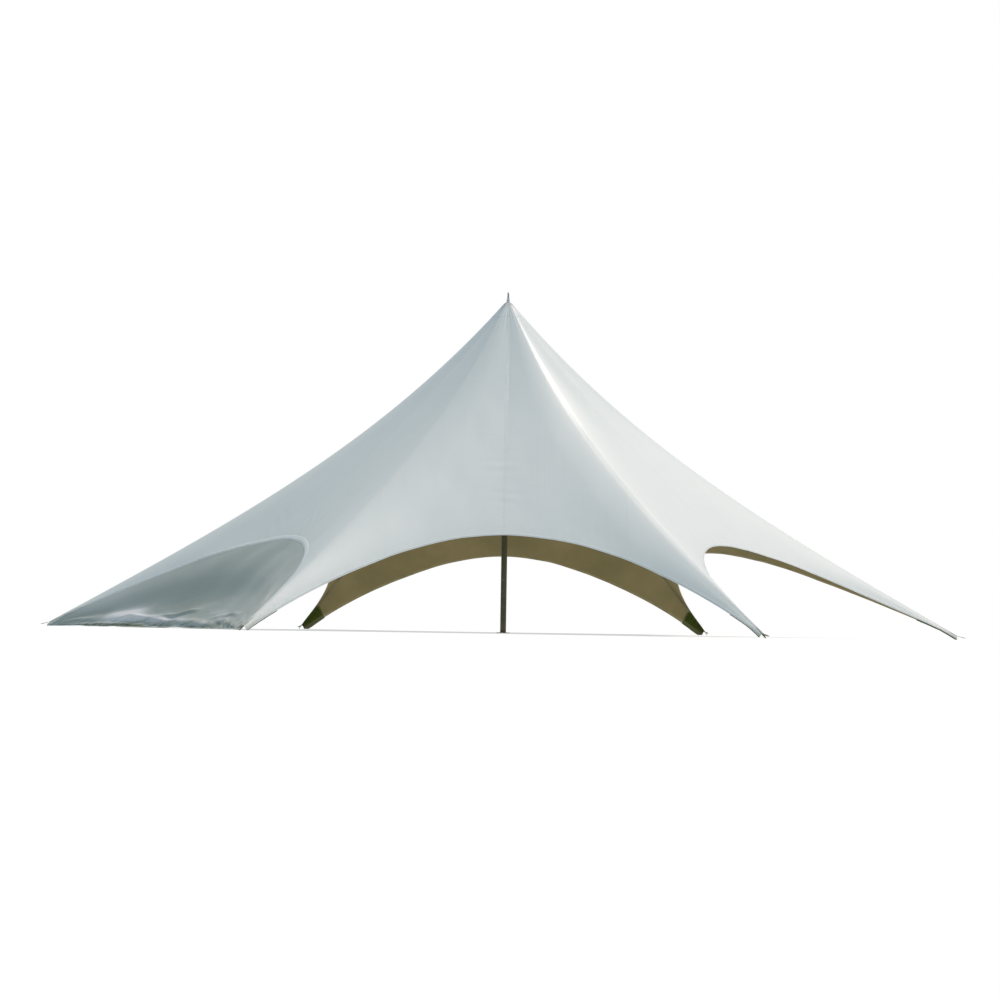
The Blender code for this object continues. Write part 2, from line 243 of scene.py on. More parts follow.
def new_group(name, inlets, outlets):
    """An empty node group with its sockets, its wiring, and its inner ends."""
    tree = bpy.data.node_groups.new(name, "ShaderNodeTree")
    for label, kind in inlets:
        tree.interface.new_socket(label, in_out="INPUT", socket_type="NodeSocket" + kind)
    for label, kind in outlets:
        tree.interface.new_socket(label, in_out="OUTPUT", socket_type="NodeSocket" + kind)
    inner = tree.nodes.new("NodeGroupInput").outputs
    outer = tree.nodes.new("NodeGroupOutput").inputs
    return tree, Wiring(tree), inner, outer


def weathering_group():
    """Patches of wear and of dirt: worn spots that are small and crisp, and dirt in soft clouds
    that thickens towards the ground, up to the height that it splashes."""
    inlets = [("Vector", "Vector"), ("Grain", "Float"), ("Splash", "Float")]
    outlets = [("Worn", "Float"), ("Dirty", "Float"), ("Height", "Float")]
    tree, wire, given, result = new_group("weathering", inlets, outlets)
    fine = wire.clouds(given["Vector"], given["Grain"], 6.0, 0.62)
    broad = wire.clouds(given["Vector"], wire.maths("MULTIPLY", given["Grain"], 0.17), 4.0)
    wire.feed(result["Worn"], wire.graded(wire.maths("MULTIPLY", fine, broad), 0.33, 0.39))
    up = wire.split(given["Vector"])[2]
    low = wire.maths("SUBTRACT", 1.0, wire.maths("DIVIDE", up, given["Splash"]), clamped=True)
    dirt = wire.maths("ADD", wire.maths("MULTIPLY", low, 0.6), wire.maths("MULTIPLY", broad, fine))
    wire.feed(result["Dirty"], wire.graded(dirt, 0.26, 0.85))
    wire.feed(result["Height"], fine)
    return tree


WEATHERING = weathering_group()


def pole_paint():
    """Brushed-on paint with an orange-peel skin, faded patches, bare spots and mud at the foot."""
    paint, wire, shader = new_material("pole_paint", Metallic=0.0, Coat_Weight=0.12, Coat_Roughness=0.3)
    place = wire.place()
    worn, dirty, height = wire.group(WEATHERING, Vector=place, Grain=34.0, Splash=0.22)[:3]
    faded = wire.clouds(wire.scaled(place, (9, 9, 1.6)), 1.0, 4.0)
    colour = wire.mixed(wire.graded(faded, 0.42, 0.75, 0.0, 0.8), PAINT, PAINT_FADED)
    colour = wire.mixed(wire.maths("MULTIPLY", worn, 0.6), colour, BARE_STEEL)
    colour = wire.mixed(wire.maths("MULTIPLY", dirty, 0.75), colour, DRY_MUD)
    wire.feed(shader.inputs["Base Color"], colour)
    wire.feed(shader.inputs["Metallic"], wire.maths("MULTIPLY", worn, 0.8))
    wire.feed(shader.inputs["Roughness"], wire.graded(faded, 0.2, 0.8, 0.36, 0.62))
    peel = wire.clouds(place, 420.0, 2.0)
    skin = wire.maths("ADD", wire.maths("MULTIPLY", peel, 0.00008), wire.maths("MULTIPLY", height, 0.0002))
    wire.feed(shader.inputs["Normal"], wire.raised(skin))
    return paint


def zinc_steel():
    """Zinc plating with its crystals, scratched and stained, rusty in spots and muddy below."""
    paint, wire, shader = new_material("zinc_steel")
    place = wire.place()
    worn, dirty, height = wire.group(WEATHERING, Vector=place, Grain=60.0, Splash=0.05)[:3]
    crystals = wire.add("TexVoronoi", Vector=place, Scale=320.0).outputs["Color"]
    grey = wire.mixed(wire.split(crystals)[0], ZINC, ZINC_DARK)
    rusty = wire.maths("MULTIPLY", worn, wire.graded(height, 0.4, 0.6))
    colour = wire.mixed(rusty, grey, RUST)
    colour = wire.mixed(wire.maths("MULTIPLY", dirty, 0.8), colour, DRY_MUD)
    wire.feed(shader.inputs["Base Color"], colour)
    clean = wire.maths("SUBTRACT", 1.0, wire.maths("MAXIMUM", rusty, dirty), clamped=True)
    wire.feed(shader.inputs["Metallic"], wire.maths("MULTIPLY", clean, 0.55))
    wire.feed(shader.inputs["Roughness"], wire.graded(clean, 0.0, 1.0, 0.8, 0.42))
    scratches = wire.clouds(wire.scaled(place, (900, 900, 60)), 1.0, 2.0)
    rough = wire.maths("ADD", wire.maths("MULTIPLY", scratches, 0.00006), wire.maths("MULTIPLY", height, 0.0003))
    wire.feed(shader.inputs["Normal"], wire.raised(rough))
    return paint


POLE_PAINT = pole_paint()
ZINC_STEEL = zinc_steel()


def take(piece):
    """Makes this the one selected and active object."""
    bpy.ops.object.select_all(action="DESELECT")
    piece.select_set(True)
    bpy.context.view_layer.objects.active = piece


def settled(piece, name, smooth_angle=40):
    """Moves the piece's place and turn into its mesh, and shades it smooth up to its edges."""
    take(piece)
    piece.name = name
    piece.data.name = name
    bpy.ops.object.transform_apply(location=True, rotation=True, scale=True)
    bpy.ops.object.shade_smooth_by_angle(angle=math.radians(smooth_angle))
    return piece


def with_modifier(piece, kind, **settings):
    """Adds a modifier with its settings and applies it."""
    take(piece)
    modifier = piece.modifiers.new(kind.lower(), kind)
    for name, value in settings.items():
        setattr(modifier, name, value)
    bpy.ops.object.modifier_apply(modifier=modifier.name)
    return piece


def joined(name, *pieces):
    """One object from several."""
    take(pieces[0])
    for piece in pieces[1:]:
        piece.select_set(True)
    bpy.ops.object.join()
    return settled(bpy.context.object, name)


def belongs(piece, material, slot, *nodes):
    """Gives the piece its material, hangs it on the root body, and hides the nodes of the frame that it stands for."""
    piece.data.materials.clear()
    piece.data.materials.append(material)
    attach(piece, "root")
    if nodes:
        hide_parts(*nodes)


def tube(radius, bottom, top, wall=TUBE_WALL):
    """An open round tube with its wall inwards and its two brims bevelled."""
    bpy.ops.object.select_all(action="DESELECT")
    bpy.ops.mesh.primitive_cylinder_add(
        vertices=TUBE_SIDES,
        radius=radius,
        depth=top - bottom,
        end_fill_type="NOTHING",
        location=(0, 0, (bottom + top) / 2),
    )
    made = bpy.context.object
    with_modifier(made, "SOLIDIFY", thickness=wall, offset=-1)
    return with_modifier(made, "BEVEL", width=BRIM_BEVEL, segments=2, limit_method="ANGLE")


def drawn_up(profile, sides=TUBE_SIDES):
    """A round solid: a disc is lifted and scaled from each (radius, height) to the next."""
    radius, height = profile[0]
    bpy.ops.object.select_all(action="DESELECT")
    bpy.ops.mesh.primitive_circle_add(
        vertices=sides, radius=radius, fill_type="NGON", location=(0, 0, height)
    )
    bpy.ops.object.mode_set(mode="EDIT")
    bpy.ops.mesh.select_all(action="SELECT")
    for next_radius, next_height in profile[1:]:
        lift = {"value": (0, 0, next_height - height)}
        bpy.ops.mesh.extrude_region_move(TRANSFORM_OT_translate=lift)
        share = next_radius / radius
        bpy.ops.transform.resize(value=(share, share, 1), center_override=(0, 0, next_height))
        radius, height = next_radius, next_height
    bpy.ops.mesh.select_all(action="SELECT")
    bpy.ops.mesh.normals_make_consistent(inside=False)
    bpy.ops.object.mode_set(mode="OBJECT")
    return bpy.context.object


def block(size, centre, bevel):
    """A box with all of its edges bevelled."""
    bpy.ops.object.select_all(action="DESELECT")
    bpy.ops.mesh.primitive_cube_add(size=1, location=centre)
    made = bpy.context.object
    made.scale = size
    bpy.ops.object.transform_apply(location=False, rotation=False, scale=True)
    return with_modifier(made, "BEVEL", width=bevel, segments=2)


def make_foot_plate():
    """Plate with rounded corners, and the bead that welds the lower tube to it."""
    low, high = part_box("pole_foot_plate")
    side, thick = high.x - low.x, high.z - low.z
    bpy.ops.object.select_all(action="DESELECT")
    bpy.ops.mesh.primitive_plane_add(size=side, location=(0, 0, low.z))
    plate = bpy.context.object
    bpy.ops.object.mode_set(mode="EDIT")
    bpy.ops.mesh.select_all(action="SELECT")
    bpy.ops.mesh.bevel(offset=PLATE_CORNER, segments=6, affect="VERTICES")
    bpy.ops.mesh.select_all(action="SELECT")
    bpy.ops.mesh.extrude_region_move(TRANSFORM_OT_translate={"value": (0, 0, thick)})
    bpy.ops.mesh.select_all(action="SELECT")
    bpy.ops.mesh.normals_make_consistent(inside=False)
    bpy.ops.object.mode_set(mode="OBJECT")
    with_modifier(plate, "BEVEL", width=BRIM_BEVEL, segments=2, limit_method="ANGLE")
    bpy.ops.mesh.primitive_torus_add(
        major_radius=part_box("pole_lower_tube")[1].x + WELD_BEAD / 2,
        minor_radius=WELD_BEAD,
        major_segments=3 * WELD_RIPPLES,
        minor_segments=10,
        location=(0, 0, high.z),
    )
    bead = bpy.context.object
    for point in bead.data.vertices:
        turn = math.atan2(point.co.y, point.co.x)
        point.co.z *= 1 + 0.18 * math.cos(WELD_RIPPLES * turn)
    belongs(joined("foot_plate", plate, bead), POLE_PAINT, "pole_paint", "pole_foot_plate")


def make_tubes():
    """Lower and upper tube. The lower one starts on the plate, inside the weld."""
    for node, name in (("pole_lower_tube", "lower_tube"), ("pole_upper_tube", "upper_tube")):
        low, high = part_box(node)
        made = settled(tube(high.x, low.z, high.z), name)
        belongs(made, POLE_PAINT, "pole_paint", node)


def make_lock_collar():
    """Split collar with two ears that a hexagon bolt draws together on the upper tube."""
    low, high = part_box("pole_lock_collar")
    middle = (low.z + high.z) / 2
    ring = tube(high.x, low.z, high.z, high.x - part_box("pole_lower_tube")[1].x)
    parts = [ring]
    for side in (-1, 1):
        across = side * EAR_THICKNESS
        centre = (high.x + EAR_REACH / 2 - TUBE_WALL, across, middle)
        parts.append(block((EAR_REACH, EAR_THICKNESS, EAR_LENGTH), centre, BRIM_BEVEL))
    for radius, sides, half_length in ((BOLT_RADIUS, 24, 0.022), (BOLT_RADIUS * 1.9, 6, 0.0145)):
        bolt = drawn_up([(radius, -half_length), (radius, half_length)], sides)
        with_modifier(bolt, "BEVEL", width=BRIM_BEVEL / 2, segments=2, limit_method="ANGLE")
        bolt.rotation_euler.x = math.radians(90)
        bolt.location = (high.x + EAR_REACH * 0.62, 0, middle)
        parts.append(bolt)
    belongs(joined("lock_collar", *parts), POLE_PAINT, "pole_paint", "pole_lock_collar")


def make_head():
    """Mushroom head that spreads the load under the cloth, and its spigot out through the peak."""
    low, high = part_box("pole_head")
    brim, foot = high.x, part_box("pole_upper_tube")[1].x
    spigot = SPIGOT_RADIUS
    cap_top = low.z + 0.05
    profile = [
        (foot, low.z),
        (foot * 1.04, low.z + 0.004),
        (foot * 1.25, low.z + 0.02),
        (brim * 0.95, cap_top - 0.017),
        (brim, cap_top - 0.012),
        (brim, cap_top - 0.006),
        (brim * 0.97, cap_top - 0.0022),
        (brim * 0.85, cap_top),
        (spigot * 1.25, cap_top + 0.001),
    ]
    made = settled(drawn_up(profile), "mushroom_head")
    belongs(made, POLE_PAINT, "pole_paint", "pole_head")
    tip = high.z + SPIGOT_RISE
    profile = [
        (spigot * 1.2, cap_top - 0.002),
        (spigot * 1.15, cap_top + 0.003),
        (spigot, cap_top + 0.006),
        (spigot, cap_top + 0.06),
        (spigot * 0.84, tip - 0.03),
        (spigot * 0.8, tip - 0.008),
        (spigot * 0.66, tip - 0.002),
        (spigot * 0.45, tip),
    ]
    made = settled(drawn_up(profile), "spigot")
    belongs(made, ZINC_STEEL, "zinc_steel", "pole_head")


make_foot_plate()
make_tubes()
make_lock_collar()
make_head()


# Canopy: six panels of coated polyester, white and satin outside and tan inside, sewn together
# along the ridges. Each is a taut saddle that is pulled down and out to the tips of two arms.
# The inside's tan is darker than the coating's own colour: it is partly painted shade.
CLOTH_WHITE = (0.745, 0.767, 0.772)
CLOTH_GREY = (0.57, 0.60, 0.605)
# The tans of the inside are the coating's colour darkened as painted shade under the canopy.
CLOTH_TAN_SHADED = (0.246, 0.198, 0.082)
CLOTH_TAN_SHADED_DARK = (0.180, 0.152, 0.055)
SPLASHED_EARTH = (0.42, 0.43, 0.36)
CLOTH = 0.0025
TIP_RADIUS = 7.0
CLOTH_END = 6.9
PEAK_HOLE = 0.06
HALF_CHORD = TIP_RADIUS * math.sin(math.radians(30))
CHORD_RADIUS = TIP_RADIUS * math.cos(math.radians(30))
ARCH_RADIUS = 3.7
FAR_HEIGHT = 3.92
FAR_SLOPE = 0.6426
PEAK_RISE = 1.17
PEAK_FALLOFF = 0.5825
BAYS = ("right_back", "back", "left_back", "left_front", "front", "right_front")
CLEARANCES = np.array((1.31, 1.245, 1.31, 1.33, 1.385, 1.33))
ARMS = {"right": 0, "back_right": 60, "back_left": 120, "left": 180, "front_left": 240, "front_right": 300}
PANEL_COLUMNS = 160
PANEL_ROWS = 126
# The arms end a little blunter than the arches' curves, and their edges are drawn up a little.
# Each bay has its own rise at its two ends, clockwise end first.
BLUNT = 0.08
EDGE_RISES = np.array(
    ((0.05, 0.03), (-0.03, -0.03), (0.03, 0.05), (0.085, 0.035), (0.0, 0.045), (0.01, 0.045))
)
# Each ridge is rolled twice, tightly over its webbing and widely beside it. Each roll has its
# share of the fold high up and along the arms, its widest radius, how fast it widens down the
# ridge, and its part of the arm's half width.
ROLLS = ((0.42, 0.28, 0.10, 0.05, 0.3), (0.58, 0.72, 0.52, 0.30, 1.2))
PLEATS = 36
STORAGE_FOLD = 1.16
# Each patch of small folds has its bay, its place across and out, the turn of the folds, their
# spacing, how far they reach across and along themselves, and their height.
CREASES = (
    (4, -0.05, 2.60, 88, 0.17, 0.16, 0.24, 0.0035),
    (4, 0.02, 3.12, 94, 0.15, 0.14, 0.22, 0.0040),
    (3, 0.25, 3.38, 128, 0.13, 0.20, 0.34, 0.0045),
    (3, -0.70, 3.45, 112, 0.16, 0.20, 0.30, 0.0030),
    (5, -0.18, 1.38, 60, 0.20, 0.05, 0.22, 0.0050),
    (5, 0.30, 3.05, 100, 0.19, 0.22, 0.30, 0.0030),
    (0, -0.20, 2.90, 80, 0.18, 0.22, 0.30, 0.0035),
    (1, 0.15, 2.70, 95, 0.17, 0.20, 0.26, 0.0035),
    (2, 0.10, 3.05, 86, 0.17, 0.22, 0.30, 0.0035),
)


def bay_of(x, y):
    """The number of the bay that holds each place, in the order of BAYS."""
    return np.minimum((np.degrees(np.arctan2(y, x)) % 360 // 60).astype(int), 5)


def edge_place(across):
    """Plan of the edge of an arch in the bay's own directions: a parabola from tip to tip, which
    keeps a little away from the tips themselves."""
    share = np.abs(across) / HALF_CHORD
    return across, ARCH_RADIUS + (CHORD_RADIUS - ARCH_RADIUS) * share**2 + BLUNT * share**6


def arm_half_width(along):
    """Half the width of the cloth of an arm, measured level at a distance from the pole."""
    across, out = edge_place(np.linspace(0, HALF_CHORD, 500))
    half, tall = math.sin(math.radians(30)), math.cos(math.radians(30))
    width = np.interp(along, out * tall + across * half, out * half - across * tall)
    return np.minimum(width, along * math.tan(math.radians(30)))


def edge_end():
    """How far across an arch's edge lies where the cloth of its arm ends."""
    across, out = edge_place(np.linspace(0, HALF_CHORD, 500))
    along = out * math.cos(math.radians(30)) + across * math.sin(math.radians(30))
    return float(np.interp(CLOTH_END, along, across))


def ripple(x, y, seed, wavelength, count=9):
    """Irregular waves of about one height: a sum of plane waves in seeded directions."""
    source = np.random.default_rng(seed)
    total = np.zeros_like(x)
    for _ in range(count):
        turn, length, phase = source.uniform(0, math.tau), source.uniform(0.6, 1.6), source.uniform(0, math.tau)
        pace = math.tau / (wavelength * length)
        total += np.sin((x * math.cos(turn) + y * math.sin(turn)) * pace + phase)
    return total / math.sqrt(count)


def cloth_height(x, y, bay=None):
    """Height of the canopy's outer face. A bay is a membrane whose ridges fall from the peak to
    the tips. Each ridge is a soft roll, whose crest stays at its height. Small folds are added
    where cloth is gathered: pleats round the peak, and folds along the arms."""
    bay = bay_of(x, y) if bay is None else np.full(x.shape, bay)
    facing = np.radians(30 + 60 * bay)
    out = x * np.cos(facing) + y * np.sin(facing)
    across = y * np.cos(facing) - x * np.sin(facing)
    free = FAR_HEIGHT - FAR_SLOPE * ARCH_RADIUS + PEAK_RISE * math.exp(-PEAK_FALLOFF * ARCH_RADIUS)
    pull = (free - CLEARANCES[bay]) / ARCH_RADIUS**3
    height = FAR_HEIGHT - FAR_SLOPE * out - pull * (out**3 - 3 * out * across**2)
    height += PEAK_RISE * np.exp(-PEAK_FALLOFF * out) * np.cos(PEAK_FALLOFF * across)

    half, tall = math.sin(math.radians(30)), math.cos(math.radians(30))
    along = out * tall + np.abs(across) * half
    aside = np.maximum(out * half - np.abs(across) * tall, 0)
    crest_across, crest_out = along * half, along * tall
    swell = PEAK_FALLOFF * PEAK_RISE * np.exp(-PEAK_FALLOFF * crest_out)
    fall_out = FAR_SLOPE + swell * np.cos(PEAK_FALLOFF * crest_across)
    fall_out += 3 * pull * (crest_out**2 - crest_across**2)
    rise_across = -swell * np.sin(PEAK_FALLOFF * crest_across) + 6 * pull * crest_out * crest_across
    fall = fall_out * half + rise_across * tall
    part = np.clip(aside / arm_half_width(along), 0, 1)
    on_arm = np.clip((along - 3.6) / 1.8, 0, 1)
    for share_above, share_on_arm, widest, growth, of_arm in ROLLS:
        share = share_above + (share_on_arm - share_above) * on_arm
        limits = (widest, growth * along, of_arm * arm_half_width(along))
        roll = sum(np.maximum(limit, 1e-4) ** -4.0 for limit in limits) ** -0.25
        height -= share * fall * np.maximum(roll - aside, 0) ** 2 / (2 * roll)
        swelling = share * fall * roll / 2 * np.exp(-((aside / (2.2 * roll)) ** 2))
        height += swelling * (1 - part**2)

    rise = EDGE_RISES[bay, (across > 0).astype(int)] * part**2
    drawn = np.clip((along - 3.25) / 1.3, 0, 1)
    height += rise * drawn**2 * (3 - 2 * drawn) * np.clip((7.05 - along) / 0.4, 0, 1)
    away = np.hypot(x, y)
    height += 0.004 * np.exp(-away / 0.22) * np.cos(PLEATS * np.arctan2(y, x))
    height += 0.004 * np.clip((along - 4.4) / 1.6, 0, 1) * np.cos(math.tau * 1.5 * part) * (1 - part)
    for crease_bay, middle, distance, turn, spacing, across_folds, along_folds, rise in CREASES:
        turned = np.radians(turn)
        right, ahead = across - middle, out - distance
        over = right * np.cos(turned) + ahead * np.sin(turned)
        beside = ahead * np.cos(turned) - right * np.sin(turned)
        fade = np.exp(-((over / across_folds) ** 2) - (beside / along_folds) ** 2)
        waves = rise * fade * np.cos(math.tau * over / spacing)
        height += np.where(bay == crease_bay, waves, 0)
    calm = np.clip(aside / 0.5, 0, 1) ** 2
    return height + 0.0022 * calm * ripple(x, y, 3, 0.9) + 0.0008 * calm * ripple(x, y, 4, 0.3)


def in_frame(bay, across, out):
    """The tent's x and y for a plan place in a bay's own directions."""
    facing = math.radians(30 + 60 * bay)
    x = out * math.cos(facing) - across * math.sin(facing)
    y = out * math.sin(facing) + across * math.cos(facing)
    return x, y


def sheet_object(name, points, cloth_uv, marks=None, ring=False):
    """A net of points, rows by columns, as a mesh with its UV map in metres and its marks."""
    rows, columns = points.shape[:2]
    number = np.arange(rows * columns).reshape(rows, columns)
    if ring:
        number = np.concatenate([number, number[:, :1]], axis=1)
    corners = (number[:-1, :-1], number[1:, :-1], number[1:, 1:], number[:-1, 1:])
    quads = np.stack(corners, axis=-1).reshape(-1, 4)
    mesh = bpy.data.meshes.new(name)
    mesh.from_pydata(points.reshape(-1, 3).tolist(), [], quads.tolist())
    layer = mesh.uv_layers.new(name="cloth")
    layer.data.foreach_set("uv", cloth_uv.reshape(-1, 2)[quads.ravel()].astype(np.float32).ravel())
    for label, values in (marks or {}).items():
        held = mesh.attributes.new(label, "FLOAT", "POINT")
        held.data.foreach_set("value", values.astype(np.float32).ravel())
    made = bpy.data.objects.new(name, mesh)
    bpy.context.scene.collection.objects.link(made)
    return made


def sewn(piece, materials, slot, thickness, *nodes, offset=-1.0, smooth_angle=50):
    """Gives a sheet its thickness, its finishes outside and inside, and its place in the frame."""
    for material in materials:
        piece.data.materials.append(material)
    with_modifier(
        piece,
        "SOLIDIFY",
        thickness=thickness,
        offset=offset,
        material_offset=len(materials) - 1,
        material_offset_rim=0,
    )
    bpy.ops.object.shade_smooth_by_angle(angle=math.radians(smooth_angle))
    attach(piece, "root")
    if nodes:
        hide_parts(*nodes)
    return piece


def lengths(points, axis):
    """Running length in metres along one axis of a net of points."""
    steps = np.linalg.norm(np.diff(points, axis=axis), axis=2)
    start = np.zeros_like(np.take(steps, [0], axis=axis))
    return np.concatenate([start, np.cumsum(steps, axis=axis)], axis=axis)


def weave_group():
    """A plain weave on metres of cloth: threads over and under, with slubs that vary."""
    tree, wire, given, result = new_group("weave", [("Vector", "Vector"), ("Threads", "Float")], [("Height", "Float")])
    along, over = wire.split(given["Vector"])[:2]
    pace = wire.maths("MULTIPLY", given["Threads"], math.pi)
    waves = [wire.maths("SINE", wire.maths("MULTIPLY", part, pace)) for part in (along, over)]
    slubs = wire.clouds(given["Vector"], 60.0, 2.0)
    wire.feed(result["Height"], wire.maths("MULTIPLY", wire.maths("MULTIPLY", *waves), slubs))
    return tree


def stitch_group():
    """A row of stitches: how far a place is from the row gives its width, and the metres along
    the row its stitches."""
    inlets = [("Along", "Float"), ("Off", "Float"), ("Pitch", "Float")]
    tree, wire, given, result = new_group("stitches", inlets, [("Stitch", "Float"), ("Pucker", "Float")])
    off = wire.maths("ABSOLUTE", given["Off"])
    near = wire.graded(off, 0.0006, 0.0014, 1.0, 0.0)
    phase = wire.maths("FRACT", wire.maths("DIVIDE", given["Along"], given["Pitch"]))
    thread = wire.graded(wire.maths("ABSOLUTE", wire.maths("SUBTRACT", phase, 0.5)), 0.34, 0.44, 1.0, 0.0)
    wire.feed(result["Stitch"], wire.maths("MULTIPLY", near, thread))
    wire.feed(result["Pucker"], wire.graded(off, 0.001, 0.012, 1.0, 0.0))
    return tree


WEAVE = weave_group()
STITCHES = stitch_group()


def seam(wire, along, off):
    """Dark needle line and height of a flat seam with two rows of stitches 12 mm apart."""
    dark, height = None, None
    away = wire.maths("ABSOLUTE", off)
    for line in (0.006, 0.018):
        row = wire.group(STITCHES, Along=along, Off=wire.maths("SUBTRACT", away, line), Pitch=0.007)
        rise = wire.maths("MULTIPLY", row["Stitch"], 0.0005)
        dip = wire.maths("MULTIPLY", row["Pucker"], -0.0006)
        rise = wire.maths("ADD", rise, dip)
        dark = row["Pucker"] if dark is None else wire.maths("MAXIMUM", dark, row["Pucker"])
        height = rise if height is None else wire.maths("ADD", height, rise)
    lap = wire.graded(away, 0.022, 0.024, 0.0012, 0.0)
    return dark, wire.maths("ADD", height, lap)


def canopy_outside():
    """White satin coating: cloudy soiling, streaks where rain runs down, seams, storage folds."""
    paint, wire, shader = new_material(
        "canopy_outside", Sheen_Weight=0.12, Sheen_Roughness=0.4, Specular_IOR_Level=0.5
    )
    place, cloth = wire.place(), wire.cloth_place()
    across, down = wire.split(cloth)[:2]
    to_edge, to_ridge = wire.mark("to_edge"), wire.mark("to_ridge")
    broad = wire.clouds(place, 0.55, 4.0, 0.55)
    streaks = wire.clouds(wire.scaled(cloth, (5.0, 0.45, 1)), 1.0, 5.0, 0.6)
    specks = wire.clouds(place, 18.0, 6.0, 0.65)
    soiled = wire.maths("MULTIPLY", wire.graded(broad, 0.35, 0.7), wire.graded(streaks, 0.4, 0.75))
    colour = wire.mixed(wire.maths("MULTIPLY", soiled, 0.16), CLOTH_WHITE, CLOTH_GREY)
    colour = wire.mixed(wire.graded(specks, 0.62, 0.8, 0.0, 0.16), colour, CLOTH_GREY)
    centre_dark, centre_height = seam(wire, down, across)
    ridge_dark, ridge_height = seam(wire, down, to_ridge)
    line = wire.maths("MULTIPLY", wire.maths("MAXIMUM", centre_dark, ridge_dark), 0.1)
    colour = wire.mixed(line, colour, CLOTH_GREY)
    radius = wire.add("VectorMath", {"operation": "LENGTH"}, Vector=wire.scaled(place, (1, 1, 0))).outputs["Value"]
    splash = wire.maths("MULTIPLY", wire.graded(radius, 5.3, 7.0), wire.graded(specks, 0.3, 0.72))
    hem_dirt = wire.maths("MULTIPLY", wire.graded(to_edge, 0.03, 0.3, 0.10, 0.0), wire.graded(specks, 0.35, 0.7))
    colour = wire.mixed(wire.maths("MAXIMUM", wire.maths("MULTIPLY", splash, 0.35), hem_dirt), colour, SPLASHED_EARTH)
    wire.feed(shader.inputs["Base Color"], colour)
    dull = wire.maths("ADD", wire.graded(radius, 0.9, 2.6, 0.35, 0.54), wire.graded(broad, 0.3, 0.7, 0.0, 0.08))
    wire.feed(shader.inputs["Roughness"], dull)
    weave = wire.maths("MULTIPLY", wire.group(WEAVE, Vector=cloth, Threads=900.0)[0], 0.00002)
    folds = None
    for part in (across, down):
        phase = wire.maths("FRACT", wire.maths("DIVIDE", part, STORAGE_FOLD))
        line = wire.graded(wire.maths("ABSOLUTE", wire.maths("SUBTRACT", phase, 0.5)), 0.0, 0.016, 0.0006, 0.0)
        folds = line if folds is None else wire.maths("ADD", folds, line)
    folds = wire.maths("MULTIPLY", folds, wire.graded(broad, 0.4, 0.6))
    slack = wire.maths("MULTIPLY", wire.clouds(wire.scaled(cloth, (3.0, 1.5, 1)), 1.0, 3.0), 0.0022)
    height = weave
    for part in (folds, slack, centre_height, ridge_height):
        height = wire.maths("ADD", height, part)
    wire.feed(shader.inputs["Normal"], wire.raised(height))
    return paint


def canopy_inside():
    """Tan blockout coating on the underside, darkened as painted shade, a little chalky and darker along its seams."""
    paint, wire, shader = new_material("canopy_inside", Specular_IOR_Level=0.3)
    place, cloth = wire.place(), wire.cloth_place()
    across, down = wire.split(cloth)[:2]
    clouds = wire.clouds(place, 0.9, 5.0, 0.55)
    stains = wire.clouds(place, 6.0, 6.0, 0.62)
    # Painted shade: the whole underside takes the darkened tans.
    colour = wire.mixed(wire.graded(clouds, 0.3, 0.7), CLOTH_TAN_SHADED, CLOTH_TAN_SHADED_DARK)
    colour = wire.mixed(wire.graded(stains, 0.6, 0.8, 0.0, 0.4), colour, CLOTH_TAN_SHADED_DARK)
    centre_dark, centre_height = seam(wire, down, across)
    ridge_dark, ridge_height = seam(wire, down, wire.mark("to_ridge"))
    line = wire.maths("MULTIPLY", wire.maths("MAXIMUM", centre_dark, ridge_dark), 0.5)
    colour = wire.mixed(line, colour, CLOTH_TAN_SHADED_DARK)
    wire.feed(shader.inputs["Base Color"], colour)
    wire.feed(shader.inputs["Roughness"], wire.graded(stains, 0.3, 0.7, 0.55, 0.72))
    weave = wire.maths("MULTIPLY", wire.group(WEAVE, Vector=cloth, Threads=900.0)[0], 0.00004)
    height = wire.maths("ADD", weave, wire.maths("ADD", centre_height, ridge_height))
    wire.feed(shader.inputs["Normal"], wire.raised(height))
    return paint


CANOPY_OUTSIDE = canopy_outside()
CANOPY_INSIDE = canopy_inside()


def make_panels():
    """Six panels, each one continuous sheet from the pole to its arch and to two arm ends."""
    made = []
    half, tall = math.sin(math.radians(30)), math.cos(math.radians(30))
    edge_across, edge_out = edge_place(edge_end() * np.linspace(-1, 1, PANEL_COLUMNS + 1))
    aside = float(arm_half_width(CLOTH_END)) * np.array((0.75, 0.5, 0.25, 0))
    end_across, end_out = CLOTH_END * half - aside * tall, CLOTH_END * tall + aside * half
    edge_across = np.concatenate([-end_across[::-1], edge_across, end_across])
    edge_out = np.concatenate([end_out[::-1], edge_out, end_out])
    reach = np.hypot(edge_across, edge_out)
    for bay, name in enumerate(BAYS):
        share = np.linspace(0, 1, PANEL_ROWS + 1)[:, None]
        from_pole = PEAK_HOLE + 1.1 * share + (reach - PEAK_HOLE - 1.1) * share**1.6
        direction = np.arctan2(edge_across, edge_out)
        across, out = from_pole * np.sin(direction), from_pole * np.cos(direction)
        x, y = in_frame(bay, across, out)
        points = np.stack([x, y, cloth_height(x, y, bay)], axis=-1)
        marks = {
            "to_ridge": out * half - np.abs(across) * tall,
            "to_edge": reach - from_pole,
        }
        down = lengths(points, 0)
        panel = sheet_object(f"panel_{name}", points, np.stack([across, down], axis=-1), marks)
        sewn(panel, (CANOPY_OUTSIDE, CANOPY_INSIDE), "canopy_fabric", CLOTH, f"canopy_panel_{name}")
        made.append(panel)
    return made


PANELS = make_panels()


# Peak boot: a second layer of cloth round the peak, whose collar is gathered up the spigot and
# lashed to it with three turns of cord.
BOOT_CLOTH = 0.0015
BOOT_OVER_PANELS = 0.0022
BOOT_END = 0.235
BOOT_SCALLOP = 0.025
BOOT_ROWS = 26
BOOT_SIDES = 216
COLLAR_TOP = 5.105
COLLAR_GATHERS = 24
LASHING_HEIGHT = 5.062
CORD_RADIUS = 0.0022
BOOT_PINK = (0.70, 0.675, 0.68)
CORD_GREY = (0.42, 0.42, 0.40)


